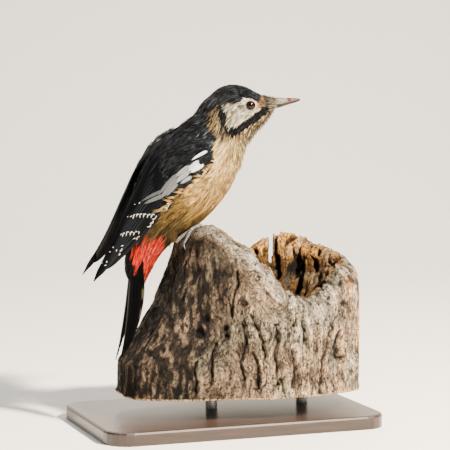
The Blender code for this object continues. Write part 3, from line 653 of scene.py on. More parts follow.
class Coat:
    """Feathers gathered by piece, each with its colour and its small patch of the skin's unwrap."""

    def __init__(self):
        self.pieces = {}

    def add(self, name, shape, path, half_width, colour, root, thickness=0.12 * MM, ragged=0.0, rng=None,
            shade=(0.55, 1.0, 1.06)):
        """Adds a feather of a shape along each line of a path; `shade` darkens or lightens it to its tip."""
        points, ways, sides, normals = path
        n, v = len(points), len(shape.row)
        if not n:
            return
        width = np.broadcast_to(half_width, (n,))[:, None, None]
        place = points[:, shape.row] + sides[:, shape.row] * (shape.across[None, :, None] * width)
        height = shape.up_width[None, :, None] * width + shape.up_thick[None, :, None] * thickness
        place += normals[:, shape.row] * height
        if ragged:
            slip = rng.uniform(-1, 0.4, (n, v)) * (shape.along > 0.8) * ragged
            place += ways[:, shape.row] * slip[..., None]
        if colour.ndim == 2:
            colour = colour[:, None, :] * np.interp(shape.along, (0, 0.5, 1), shade)[None, :, None]
        across = np.broadcast_to(shape.across[None], (n, v))
        along = np.broadcast_to(shape.along[None], (n, v))
        uv = np.stack([root[:, :1] + across * UNWRAP_PATCH, root[:, 1:] + (along - 0.5) * 2 * UNWRAP_PATCH],
                      axis=-1)
        faces = shape.faces[None] + (np.arange(n) * v)[:, None, None]
        turned_over = np.sum(np.cross(sides[0, 0], ways[0, 0]) * normals[0, 0]) < 0
        if turned_over:
            faces = faces[..., ::-1]
        reach = np.linalg.norm(np.diff(points, axis=1), axis=2).sum(axis=1)[:, None]
        barb = (along * reach + 0.7 * np.abs(across) * width[..., 0]) / MM
        self.pieces.setdefault(name, []).append(
            (place.reshape(-1, 3), faces.reshape(-1, 3), np.clip(colour, 0, 0.95).reshape(-1, 3),
             uv.reshape(-1, 2), barb.reshape(-1))
        )

    def make(self, finishes):
        """Joins each piece's feathers into one mesh."""
        for name, parts in self.pieces.items():
            starts = np.cumsum([0] + [len(p[0]) for p in parts[:-1]])
            faces = np.concatenate([p[1] + s for p, s in zip(parts, starts)])
            places, colours, uv, barb = (np.concatenate([p[k] for p in parts]) for k in (0, 2, 3, 4))
            kind, slot = coat_kind(name)
            piece = mesh_piece(name, places, faces, finishes[kind], slot)
            paint(piece, colours)
            measure(piece, "barb", barb)
            layer = piece.data.uv_layers.new(name="OFBake")
            layer.data.foreach_set("uv", uv[faces.reshape(-1)].astype(np.float32).reshape(-1))
            print(f"{name}: {len(faces)} triangles")


# ---------------------------------------------------------------- meshes

WELD = 1e-6  # metres


def mesh_piece(name, places, faces, material, slot):
    """A joined mesh of many small closed shapes."""
    mesh = bpy.data.meshes.new(name)
    mesh.vertices.add(len(places))
    mesh.vertices.foreach_set("co", places.astype(np.float32).reshape(-1))
    mesh.loops.add(faces.size)
    mesh.loops.foreach_set("vertex_index", faces.astype(np.int32).reshape(-1))
    mesh.polygons.add(len(faces))
    mesh.polygons.foreach_set("loop_start", np.arange(0, faces.size, faces.shape[1], dtype=np.int32))
    mesh.update(calc_edges=True)
    return finished(name, mesh, material, slot)


def finished(name, mesh, material, slot):
    """A mesh as a smooth-shaded piece of the model, riding on its one body."""
    piece = loose(name, mesh)
    mesh.materials.clear()
    mesh.materials.append(material)
    mesh.shade_smooth()
    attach(piece, "root")
    return piece


def paint(piece, colours):
    """Gives each corner of a piece a linear colour."""
    attribute = piece.data.color_attributes.new(name="plumage", type="FLOAT_COLOR", domain="POINT")
    full = np.concatenate([colours, np.ones((len(colours), 1))], axis=1)
    attribute.data.foreach_set("color", full.astype(np.float32).reshape(-1))


def measure(piece, name, values):
    """Gives each corner of a piece a number that its finish reads by name."""
    attribute = piece.data.attributes.new(name=name, type="FLOAT", domain="POINT")
    attribute.data.foreach_set("value", values.astype(np.float32))


def corners(mesh):
    """The places of a mesh's corners."""
    places = np.empty(len(mesh.vertices) * 3, np.float32)
    mesh.vertices.foreach_get("co", places)
    return places.reshape(-1, 3).astype(float)


def normals_of(mesh):
    """The outward normals at a mesh's corners."""
    normals = np.empty(len(mesh.vertices) * 3, np.float32)
    mesh.vertex_normals.foreach_get("vector", normals)
    return normals.reshape(-1, 3).astype(float)


def rolled(reading, rows, sides, first=0.0, last=1.0):
    """A closed tube: a grid rolled up by a surface reading (at, angle), welded and closed at its ends."""
    bm = bmesh.new()
    bmesh.ops.create_grid(bm, x_segments=sides, y_segments=rows, size=0.5)
    flat = np.array([v.co[:] for v in bm.verts])
    places = reading(first + (flat[:, 1] + 0.5) * (last - first), (flat[:, 0] + 0.5) * FULL_TURN)
    for vert, place in zip(bm.verts, places):
        vert.co = place
    bmesh.ops.remove_doubles(bm, verts=bm.verts[:], dist=WELD)
    bmesh.ops.holes_fill(bm, edges=[e for e in bm.edges if e.is_boundary])
    bmesh.ops.recalc_face_normals(bm, faces=bm.faces[:])
    mesh = bpy.data.meshes.new("rolled")
    bm.to_mesh(mesh)
    bm.free()
    return mesh


def cad_copy(node):
    """A welded copy of a CAD node's mesh."""
    bm = bmesh.new()
    bm.from_mesh(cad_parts[node].data)
    bmesh.ops.remove_doubles(bm, verts=bm.verts[:], dist=WELD)
    mesh = bpy.data.meshes.new(node)
    bm.to_mesh(mesh)
    bm.free()
    return mesh


def applied(piece):
    """The piece's mesh with its modifiers worked in."""
    done = bpy.data.meshes.new_from_object(piece.evaluated_get(bpy.context.evaluated_depsgraph_get()))
    piece.modifiers.clear()
    piece.data = done
    return piece


def loose(name, data):
    """An object of some data, linked into the scene."""
    thing = bpy.data.objects.new(name, data)
    bpy.context.scene.collection.objects.link(thing)
    return thing


def reshape(piece, places):
    """Moves a piece's corners to new places."""
    piece.data.vertices.foreach_set("co", places.astype(np.float32).reshape(-1))


# ---------------------------------------------------------------- finishes


class Finish:
    """A material being put together: a Principled shader and the nodes that feed it; sizes are in mm."""

    def __init__(self, name, settings):
        self.material = bpy.data.materials.new(name)
        self.material.use_nodes = True
        self.tree = self.material.node_tree
        self.shader = self.tree.nodes["Principled BSDF"]
        for key, value in settings.items():
            self.shader.inputs[key].default_value = value

    def node(self, kind, inputs, **settings):
        """Adds a node, sets it up and joins its inputs to values or to other nodes' sockets."""
        node = self.tree.nodes.new(kind)
        for key, value in settings.items():
            setattr(node, key, value)
        for key, value in inputs.items():
            if isinstance(value, bpy.types.NodeSocket):
                self.tree.links.new(value, node.inputs[key])
            else:
                node.inputs[key].default_value = value
        return node

    def place(self):
        """Places in the shared frame, in metres."""
        return self.node("ShaderNodeTexCoord", {}).outputs["Object"]

    def stretched(self, scale, at=None):
        """Places scaled along each axis, so that a texture is drawn out where the scale is small."""
        inputs = {"Vector": at or self.place(), "Scale": scale}
        return self.node("ShaderNodeMapping", inputs).outputs["Vector"]

    def measured(self, name):
        """A number that the mesh carries."""
        return self.node("ShaderNodeAttribute", {}, attribute_name=name).outputs["Fac"]

    def painted(self):
        """The colour that the mesh carries."""
        return self.node("ShaderNodeAttribute", {}, attribute_name="plumage").outputs["Color"]

    def mottle(self, size, detail=2.0, roughness=0.5, at=None, distortion=0.0):
        """Cloudy noise with lumps of a size, as a number (Fac) and as a colour (Color)."""
        return self.node("ShaderNodeTexNoise", {
            "Vector": at or self.place(), "Scale": 1 / (size * MM), "Detail": detail,
            "Roughness": roughness, "Distortion": distortion,
        }).outputs

    def cells(self, size, at=None, feature="F1"):
        """Distance from the middles, or from the edges, of cells of a size."""
        inputs = {"Vector": at or self.place(), "Scale": 1 / (size * MM)}
        return self.node("ShaderNodeTexVoronoi", inputs, feature=feature).outputs["Distance"]

    def maths(self, operation, *values):
        """An operation on numbers."""
        node = self.node("ShaderNodeMath", dict(enumerate(values)), operation=operation)
        return node.outputs["Value"]

    def vector(self, operation, *values):
        """An operation on vectors or colours."""
        node = self.node("ShaderNodeVectorMath", dict(enumerate(values)), operation=operation)
        return node.outputs["Vector"]

    def ranged(self, value, given, wanted):
        """A value taken from a given range to a wanted one, and kept inside it."""
        return self.node("ShaderNodeMapRange", {
            "Value": value, "From Min": given[0], "From Max": given[1],
            "To Min": wanted[0], "To Max": wanted[1],
        }).outputs["Result"]

    def ramp(self, factor, stops):
        """A colour ramp through (place, sRGB hex) stops."""
        node = self.node("ShaderNodeValToRGB", {"Fac": factor})
        elements = node.color_ramp.elements
        while len(elements) < len(stops):
            elements.new(0.5)
        for element, (place, colour) in zip(elements, stops):
            element.position = place
            element.color = (*linear(colour), 1.0)
        return node.outputs["Color"]

    def coloured(self, colour):
        """Joins a colour to the shader."""
        self.tree.links.new(colour, self.shader.inputs["Base Color"])

    def bumped(self, height, strength, depth, invert=False):
        """Fine relief of a depth on the shader's surface."""
        inputs = {"Height": height, "Strength": strength, "Distance": depth * MM}
        bump = self.node("ShaderNodeBump", inputs, invert=invert)
        self.tree.links.new(bump.outputs["Normal"], self.shader.inputs["Normal"])


def plumage_finish(name, roughness, sheen, sheen_colour, specular):
    """Feather keratin: colour from the coat's markings, ribbed by slanting barbs 0.45 mm apart."""
    finish = Finish(name, {
        "Roughness": roughness, "Specular IOR Level": specular,
        "Sheen Weight": sheen, "Sheen Roughness": 0.45, "Sheen Tint": (*linear(sheen_colour), 1.0),
    })
    shade = finish.ranged(finish.mottle(0.7, 3.0, 0.6)["Fac"], (0.3, 0.7), (0.8, 1.15))
    finish.coloured(finish.vector("MULTIPLY", finish.painted(), shade))
    turn = finish.maths("MULTIPLY", finish.measured("barb"), FULL_TURN / 0.45)
    finish.bumped(finish.maths("SINE", turn), 0.4, 0.04)
    return finish.material


def skin_finish():
    """Skin seen between feather bases: matt, pimpled 1.2 mm apart, in the coat's own colours darkened as
    painted shade.
    """
    finish = Finish("skin", {"Roughness": 0.9, "Specular IOR Level": 0.15})
    finish.coloured(finish.painted())
    finish.bumped(finish.cells(1.2), 0.6, 0.2)
    return finish.material


def horn_finish(name, dark, light, roughness):
    """Keratin horn: faint streaks along its length, 0.6 mm apart, with a dull polish."""
    finish = Finish(name, {"Roughness": roughness, "Specular IOR Level": 0.12})
    streaks = finish.mottle(0.6, 4.0, 0.65, finish.stretched((0.12, 1.0, 1.0)))["Fac"]
    tone = finish.ramp(streaks, [(0.36, dark), (0.62, light)])
    finish.coloured(finish.vector("MULTIPLY", tone, finish.painted()))
    finish.bumped(streaks, 0.35, 0.08)
    return finish.material


def eye_finish():
    """A wet eye: black pupil, red-brown iris with fine spokes, dark rim, under a clear glossy cornea."""
    finish = Finish("eyeball", {
        "Roughness": 0.4, "Coat Weight": 0.7, "Coat Roughness": 0.03, "Coat IOR": 1.34,
        "Specular IOR Level": 0.0,
    })
    uneven = finish.maths("MULTIPLY_ADD", finish.mottle(0.25)["Fac"], 0.03, finish.measured("ring"))
    finish.coloured(finish.ramp(uneven, [
        (0.0, "#000000"), (0.33, "#010000"), (0.38, "#180503"), (0.45, "#2C0905"), (0.52, "#120402"),
        (0.57, "#020101"),
    ]))
    return finish.material


def lid_finish():
    """Bare eyelid skin: pale grey-buff, finely beaded, its rim dark."""
    finish = Finish("eyelid", {"Roughness": 0.6})
    finish.coloured(finish.ramp(finish.measured("ring"), [
        (0.0, "#090605"), (0.34, "#120C09"), (0.55, "#8C8270"), (1.0, "#D2BD96"),
    ]))
    finish.bumped(finish.cells(0.35), 0.7, 0.12)
    return finish.material


def scute_finish():
    """Scaled foot skin: pale grey, dusty, darker between the scutes."""
    finish = Finish("scute", {"Roughness": 0.55, "Specular IOR Level": 0.2})
    scales = finish.cells(0.5)
    speckle = finish.maths("MULTIPLY_ADD", scales, -0.35, finish.measured("scute"))
    finish.coloured(finish.ramp(speckle, [(0.0, "#050403"), (0.45, "#221E19"), (0.85, "#7E7C76")]))
    finish.bumped(scales, 0.6, 0.12, invert=True)
    return finish.material


def wood_finish():
    """Weathered wood gone grey: grit 1.4 mm across, fibres 1.1 mm apart, drying checks 5.5 mm apart."""
    finish = Finish("weathered_wood", {"Roughness": 0.92, "Specular IOR Level": 0.15})
    long = finish.node("ShaderNodeSeparateXYZ", {"Vector": finish.stretched((1.0, 0.38, 0.28))}).outputs
    across = finish.maths("MULTIPLY", finish.measured("across_grain"), MM)
    grain = finish.node("ShaderNodeCombineXYZ", {"X": across, "Y": long["Y"], "Z": long["Z"]})
    fibres = finish.mottle(1.1, 5.0, 0.7, grain.outputs["Vector"])["Fac"]
    grit = finish.mottle(1.4, 5.0, 0.75)["Fac"]
    rough = finish.maths("MULTIPLY_ADD", fibres, 1.2, grit)
    shade = finish.ranged(rough, (0.93, 1.26), (0.04, 1.9))
    bend = finish.mottle(6.0)
    bent = finish.vector("MULTIPLY_ADD", bend["Color"], (8.0 * MM,) * 3, finish.place())
    checks = finish.cells(5.5, finish.stretched((1.0, 1.0, 0.3), bent), "DISTANCE_TO_EDGE")
    patchy = finish.maths("POWER", finish.ranged(checks, (0.01, 0.09), (0.12, 1.0)), bend["Fac"])
    both = finish.maths("MULTIPLY", shade, patchy)
    finish.coloured(finish.vector("MULTIPLY", finish.painted(), both))
    finish.bumped(rough, 1.0, 1.1)
    return finish.material


def board_finish():
    """Dark stained hardwood under satin lacquer: grain lines 2 mm apart along the board."""
    finish = Finish("lacquered_wood", {"Roughness": 0.42, "Coat Weight": 0.35, "Coat Roughness": 0.22})
    rings = finish.mottle(2.0, 6.0, 0.65, finish.stretched((0.06, 1.0, 1.0)), distortion=0.4)["Fac"]
    finish.coloured(finish.ramp(rings, [(0.3, "#17100C"), (0.55, "#2B1D15"), (0.75, "#402B1E")]))
    finish.bumped(rings, 0.15, 0.1)
    return finish.material


def steel_finish():
    """Turned steel rod: fine brushing round it, 0.2 mm apart."""
    finish = Finish("brushed_steel", {"Metallic": 1.0, "Roughness": 0.32})
    brushing = finish.mottle(0.2, 3.0, at=finish.stretched((0.02, 0.02, 1.0)))["Fac"]
    finish.coloured(finish.ramp(brushing, [(0.3, "#7F8082"), (0.7, "#B4B5B7")]))
    finish.bumped(brushing, 0.2, 0.05)
    return finish.material


def make_finishes():
    """Every finish by name."""
    return {
        # Loose body plumage: matt, with light caught in its free barbs.
        "soft_plumage": plumage_finish("soft_plumage", 0.8, 0.03, "#FFF0D8", 0.12),
        # Tight black plumage: a blue-grey gloss on the back, crown and wing.
        "glossy_plumage": plumage_finish("glossy_plumage", 0.5, 0.01, "#8FA6C4", 0.1),
        # Flight and tail feathers: stiff smooth blades with a satin gloss.
        "flight_feather": plumage_finish("flight_feather", 0.45, 0.0, "#8FA6C4", 0.05),
        "skin": skin_finish(),
        "bill_horn": horn_finish("bill_horn", "#26221D", "#777065", 0.5),
        "claw_horn": horn_finish("claw_horn", "#26292C", "#7A7F83", 0.4),
        "eyeball": eye_finish(),
        "eyelid": lid_finish(),
        "scute": scute_finish(),
        "weathered_wood": wood_finish(),
        "lacquered_wood": board_finish(),
        "brushed_steel": steel_finish(),
    }


# ---------------------------------------------------------------- skin and body coat

EYES = {label: np.mean(np.array(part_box(f"eye_{label}")), axis=0) for label in SIDES.values()}
EYE_RADIUS = (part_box("eye_right")[1][2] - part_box("eye_right")[0][2]) / 2
LOOK_RIGHT = head_turned(NECK_PIVOT + np.array((0.0, -1.0, 0.0)), 1.0) - NECK_PIVOT
EYE_AXES = {"right": LOOK_RIGHT, "left": -LOOK_RIGHT}


def make_skin(finishes):
    """The body and both thighs as one closed form beneath the feathers."""
    form = rolled(body_surface, 300, 120, 0.0, LAST_SECTION)
    skin = finished("skin", form, finishes["skin"], "buff_plumage")
    for side in SIDES:
        thigh = loose("thigh_form", rolled(thigh_surface(side), 30, 24, 0.0, 2.9))
        union = skin.modifiers.new("thigh", "BOOLEAN")
        union.operation = "UNION"
        union.object = thigh
        applied(skin)
        bpy.data.objects.remove(thigh)
    skin.data.shade_smooth()
    places = corners(skin.data)
    at, angle = read_body(places)
    shade = noise(places, 0.0015, 5)
    # The coat's colours at half strength: painted shade for the skin seen deep between the feathers.
    paint(skin, coat_colour(at, angle, region_of(at, angle), shade) * 0.5)
    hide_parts("head", "neck", "trunk", "tail_coverts", "thigh_left", "thigh_right")


def read_body(places):
    """Where points near the body lie on it, as (section, angle)."""
    turns = np.linspace(0, FULL_TURN, 96, endpoint=False)
    ats, angles = np.meshgrid(np.linspace(0, LAST_SECTION, 260), turns, indexing="ij")
    known = body_surface(ats, angles).reshape(-1, 3)
    tree = KDTree(len(known))
    for number, place in enumerate(known):
        tree.insert(place, number)
    tree.balance()
    nearest = np.array([tree.find(place)[1] for place in places])
    return ats.reshape(-1)[nearest], angles.reshape(-1)[nearest]


def scattered(surface, first, last, spacing, rng, low=0.0, high=FULL_TURN):
    """Even, slightly jostled places on a surface, about `spacing(at)` apart, as (at, across)."""
    found, at, odd = [], first, 0
    while at < last:
        gap = spacing(at) * MM
        across = np.linspace(low, high, 49)
        ring = surface(np.full(49, at), across)
        girth = np.linalg.norm(np.diff(ring, axis=0), axis=1).sum()
        ahead = surface(np.full(49, at + NUDGE), across) - surface(np.full(49, at - NUDGE), across)
        pace = np.linalg.norm(ahead, axis=1) / (2 * NUDGE)
        count = max(3, int(girth / gap))
        places = np.arange(count) + 0.5 * odd + 0.25 + rng.uniform(-0.3, 0.3, count)
        place = low + places / count * (high - low)
        step = gap / pace.max()
        kept_here = rng.random(count) < np.interp(place, across, pace) / pace.max()
        found.append(np.stack([at + rng.uniform(-0.4, 0.4, count) * step, place], axis=1)[kept_here])
        at, odd = at + step, 1 - odd
    return np.concatenate(found).T


def table_of(*pairs):
    """A number that changes along a surface, from (reading, number) pairs."""
    places, values = zip(*pairs)
    return lambda at: np.interp(at, places, values)


# Spacing, length and lift of the body's feathers, in millimetres by section.
FEATHER_SPACING = table_of((0, 0.65), (2, 0.8), (4, 0.95), (7, 1.05), (10, 1.15), (14, 1.3), (19, 1.1))
FEATHER_LENGTH = table_of(
    (0, 1.8), (1, 2.4), (3, 3.3), (5, 4.6), (8, 7.4), (11, 9.6), (14, 11.0), (17, 9.6), (19, 5.0),
)
FEATHER_RISE = table_of((0, 0.35), (3, 0.5), (6, 0.65), (10, 0.7), (19, 0.75))
LAST_FEATHERED = 18.6
EYE_CLEARANCE = 3.5 * MM


def clear_of_eyes(path):
    """Which feather lines don't cross an eye."""
    free = np.ones(len(path[0]), bool)
    for name, middle in EYES.items():
        apart = path[0] - middle
        forward = apart @ EYE_AXES[name]
        across = np.linalg.norm(apart - forward[..., None] * EYE_AXES[name], axis=-1)
        free &= ~((across < EYE_CLEARANCE) & (forward > 0)).any(axis=1)
    return free


def beneath_wings(path, wings):
    """Which feather lines have a wing over both their ends."""

    def covered(point, normal):
        return any(wing.ray_cast(Vector(point), Vector(normal), 0.02)[0] is not None for wing in wings)

    return np.array([
        all(covered(points[row], normals[row]) for row in (0, -1))
        for points, normals in zip(path[0], path[3])
    ])


def make_body_coat(coat, shapes, wings):
    """All the feathers that root on the skin, gathered by their part of the body."""
    rng = np.random.default_rng(11)
    at, angle = scattered(body_surface, 0.05, LAST_FEATHERED, FEATHER_SPACING, rng)
    angle = np.mod(angle, FULL_TURN)
    length = FEATHER_LENGTH(at) * MM * rng.uniform(0.85, 1.12, len(at))
    swing = rng.normal(0, 0.09, len(at))
    nape = blend(5.0, 6.4, at) * blend(9.4, 7.6, at) * blend(0.0, 0.7, np.cos(angle))
    lift = (0.1 + 1.5 * nape) * MM
    rise = FEATHER_RISE(at) * MM * rng.uniform(0.2, 1.5, len(at)) + 0.9 * nape * MM
    ahead = bearings(body_surface, at, angle, 1.0)[2]
    step = 0.6 * length / np.maximum(np.linalg.norm(ahead, axis=1), 1e-4)
    shown = region_of(np.minimum(at + step, LAST_SECTION), angle)
    beard = (shown == REGION["pale"]) & (at < 9) & (np.cos(angle) < -0.3)
    rise = rise + beard * rng.uniform(0.2, 2.4, len(at)) ** 1.2 * MM
    for _ in range(3):
        path = lay(body_surface, at, angle, length, swing, lift, rise)
        length = np.where(clear_of_eyes(path), length, length * 0.6)
    keep = clear_of_eyes(path) & ~beneath_wings(path, wings)
    path, at, angle, shown = kept(path, keep), at[keep], angle[keep], shown[keep]
    root = np.stack([angle / FULL_TURN * 0.68 + 0.01, at / LAST_SECTION * 0.97 + 0.01], axis=1)
    black = np.isin(shown, BLACK_REGIONS)
    tone = rng.beta(0.8, 0.8, len(at))
    groups = {
        "head_black_feathers": black & (at < CROWN_END),
        "back_feathers": black & (at >= CROWN_END),
        "face_feathers": ~black & (at < FACE_END),
        "neck_feathers": ~black & (at >= FACE_END) & (at < HEAD_END),
        "breast_feathers": ~black & (at >= HEAD_END) & (at < BREAST_END),
        "belly_feathers": ~black & (at >= BREAST_END) & (shown != REGION["vent"]),
        "vent_feathers": shown == REGION["vent"],
    }
    for name, here in groups.items():
        body_feathers(coat, name, shapes["barb"], kept(path, here), at[here], angle[here], shown[here],
                      tone[here], root[here], rng)


def body_feathers(coat, name, shape, path, at, angle, shown, tone, root, rng):
    """Each feather of one part of the body as a narrow lock of free barbs drawn together at its tip."""
    width = np.interp(at, (0, 3, 8, 14), (0.3, 0.42, 0.52, 0.62)) * MM
    black = np.isin(shown, BLACK_REGIONS)
    throat = ~black & (at < CHIN_END) & (np.cos(angle) < -0.2)
    # Few black locks take the lighter colour, a painted highlight; throat locks lean dark, as painted shade.
    tone = np.where(black, tone**6, np.where(throat, tone**1.9, tone))
    barbs, who = barbs_of(path, 4, width, -0.35, rng, shortest=0.72)
    spread = rng.normal(0, 0.06, len(who))
    colour = coat_colour(at[who], angle[who], shown[who], np.clip(tone[who] + spread, 0, 1.1))
    thick = rng.uniform(0.13, 0.22, len(who)) * MM * np.interp(at[who], (0, 8, 12), (0.75, 1.1, 1.25))
    coat.add(name, shape, barbs, thick, colour, root[who], shade=(0.25, 0.8, 1.2))


# ---------------------------------------------------------------- wings and tail

WHITE_FEATHER = ("#828A92", "#F4FAFF")
SPOT_WHITE = "#F6F5EA"
# The lighter colour of each black pair is a painted blue-grey highlight.
WING_BLACK = ("#010102", "#252C33")
FLIGHT_BLACK = ("#010102", "#1E2328")
FLIGHT_TIPS = [5.9, 6.7, 7.3, 7.7, 8.0, 8.2, 8.45, 8.7, 8.95, 9.2, 9.5, 9.75, 9.9, 8.6]
# The white shoulder feathers: root (blade, share), tip (blade, share), half width and painted brightness: the
# later, lower ones are painted grey as shade.
WHITE_BLADES = [
    (1.02, 0.58, 2.04, 0.6, 1.0, 0.8), (1.7, 0.69, 2.36, 0.7, 1.3, 0.5), (1.5, 0.81, 2.32, 0.78, 1.3, 0.75),
    (1.7, 0.75, 2.42, 0.73, 1.4, 0.65), (2.2, 0.67, 3.08, 0.67, 1.6, 0.18),
    (2.3, 0.75, 3.15, 0.75, 1.8, 0.22), (2.28, 0.85, 2.9, 0.82, 1.4, 0.26),
    (2.75, 0.66, 4.0, 0.7, 1.6, 0.09), (2.85, 0.73, 4.03, 0.78, 1.9, 0.11),
    (3.0, 0.79, 3.75, 0.82, 1.4, 0.14), (3.6, 0.71, 4.88, 0.44, 1.1, 0.08),
    (3.7, 0.78, 4.78, 0.55, 1.4, 0.11),
]
# The tail's feathers from the middle out: how far down each reaches, half width, share of the fan at its tip.
TAIL_BLADES = [(6.0, 3.1, 0.66), (5.6, 3.1, 0.82), (5.1, 2.9, 0.9), (4.6, 2.7, 0.94), (3.9, 2.4, 0.97)]


def wing_root(side, share, row):
    """The unwrap's spot for small feathers of a wing or a thigh: a column for each side."""
    return np.stack([0.72 + 0.1 * (side > 0) + share, row], axis=1)


def blade_root(side, row):
    """The unwrap's spot for a long feather: a narrow column for each side."""
    return np.array([[0.905 + 0.045 * (side > 0), row]])


def make_wing_core(side, finishes):
    """The closed dark form inside a folded wing."""
    label = SIDES[side]

    def reading(at, angle):
        turn = angle / math.pi
        inner = turn > 1.0
        share = np.where(inner, 2.0 - turn, turn)
        sunk = 0.2 + 1.1 * np.sin(math.pi * share) ** 0.5
        return wing_layer(at, 0.04 + 0.92 * share, side, sunk, inner)

    core = finished(f"wing_{label}", rolled(reading, 120, 64, 0.08, 8.3), finishes["skin"], "black_plumage")
    paint(core, np.tile(linear("#0B0C0F"), (len(core.data.vertices), 1)))
    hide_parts(f"wing_{label}_coverts", f"wing_{label}_flight_feathers")
    return core


def wing_coverts(coat, shapes, side, rng):
    """The small feathers over the front half of a folded wing, black but for the white patch."""
    surface = wing_surface(side, 1.1)
    at, share = scattered(surface, 0.1, 4.9, table_of((0, 1.5), (1, 1.7), (5, 1.9)), rng, -0.1, 0.98)
    length = np.interp(at, (0, 1, 4), (4.5, 6.5, 9.5)) * MM * rng.uniform(0.85, 1.15, len(at))
    swing = rng.normal(0.02, 0.08, len(at)) + np.where(share < 0.06, 0.25, 0.0)
    lift = np.where(share < 0.05, 0.9, 0.15) * MM
    rise = rng.uniform(0.2, 0.45, len(at)) * MM
    path = lay(surface, at, share, length, swing, lift, rise, -side)
    slip = np.stack([0.3 + rng.normal(0, 0.05, len(at)), rng.normal(0, 0.015, len(at))], axis=1)
    black = ~inside(WING_PATCH, np.stack([at, share], axis=1) + slip)
    path, at, share, length = kept(path, black), at[black], share[black], length[black]
    colour = tinted(WING_BLACK, rng.random(len(at)) ** 3)
    root = wing_root(side, 0.08 * np.clip(share, 0, 1), 0.02 + at / 12)
    barbs, who = barbs_of(path, 9, length * 0.2, -0.2, rng, shortest=0.65)
    thick = rng.uniform(0.12, 0.2, len(who)) * MM
    colour = colour[who] * (0.7 + 0.8 * rng.random((len(who), 1)) ** 2)
    coat.add(f"wing_coverts_{SIDES[side]}", shapes["barb"], barbs, thick, colour, root[who],
             shade=(0.3, 0.8, 1.2))


def white_patch(coat, shapes, side, rng):
    """The long overlapping white feathers of the shoulder, the foremost on top; the later, lower ones are
    painted grey as shade, and each is greyer towards its root as painted shade.
    """
    name, shape = f"wing_coverts_{SIDES[side]}", shapes["blade"]
    for number, (start, low, end, high, half, painted_brightness) in enumerate(WHITE_BLADES):

        def read(s, beside):
            at, share = start + (end - start) * s, low + (high - low) * s**1.3
            return wing_layer(at, share + beside, side, 0.03 * number - 0.35)

        path = blade_path(read, side, shape.rows)
        streak = 0.5 + 0.5 * np.sin(shape.across * 9 + number * 2.0)
        shaft = np.abs(shape.across) < 0.1
        # Greyer towards the root, lighter at the tip: painted shade.
        tone = np.clip(0.35 + 0.5 * shape.along + 0.25 * streak - 0.25 * shaft, 0, 1)
        # Each feather's painted brightness, darker towards its edges.
        rim = painted_brightness * (1 - 0.6 * blend(0.6, 1.0, np.abs(shape.across)))
        colour = tinted(WHITE_FEATHER, tone) * rim[:, None]
        root = blade_root(side, 0.7 + 0.012 * number)
        coat.add(name, shape, path, half * MM, colour[None], root, thickness=0.14 * MM, ragged=0.8 * MM,
                 rng=rng)
        barbs, who = barbs_of(path, 26, np.array([half * 1.1 * MM]), 0.5, rng, shortest=0.6)
        barbs[0] = barbs[0] + barbs[3] * 0.14 * MM
        tint = tinted(WHITE_FEATHER, np.clip(rng.normal(0.6, 0.3, len(who)), 0, 1))
        tint = tint * painted_brightness * rng.uniform(0.5, 1.2, (len(who), 1))
        thick = rng.uniform(0.1, 0.18, len(who)) * MM
        coat.add(name, shapes["barb"], barbs, thick, tint, np.repeat(root, len(who), axis=0))


def wing_flecks(coat, shapes, side, rng):
    """White flecks in zigzag rows over the black flight feathers."""
    surface = wing_surface(side, -0.15)
    for row, (first, low, last, high, count, length) in enumerate(WING_FLECKS):
        place = np.linspace(0, 1, count)
        at = first + (last - first) * place + rng.normal(0, 0.02, count)
        share = low + (high - low) * place
        swing = np.where(np.arange(count) % 2, 0.55, -0.65) + rng.normal(0, 0.15, count)
        size = length * MM * rng.uniform(0.75, 1.1, count)
        path = lay(surface, at - 0.06, share, size, swing, 0.12 * MM, np.full(count, 0.1 * MM), -side)
        barbs, who = barbs_of(path, 6, np.full(count, 0.42 * MM), -0.1, rng, shortest=0.7)
        colour = linear(SPOT_WHITE) * rng.uniform(0.5, 1.0, (len(who), 1))
        root = np.repeat(blade_root(side, 0.9 + 0.006 * row), len(who), axis=0)
        thick = rng.uniform(0.12, 0.2, len(who)) * MM
        coat.add(f"wing_coverts_{SIDES[side]}", shapes["barb"], barbs, thick, colour, root,
                 shade=(0.7, 1.0, 1.1))


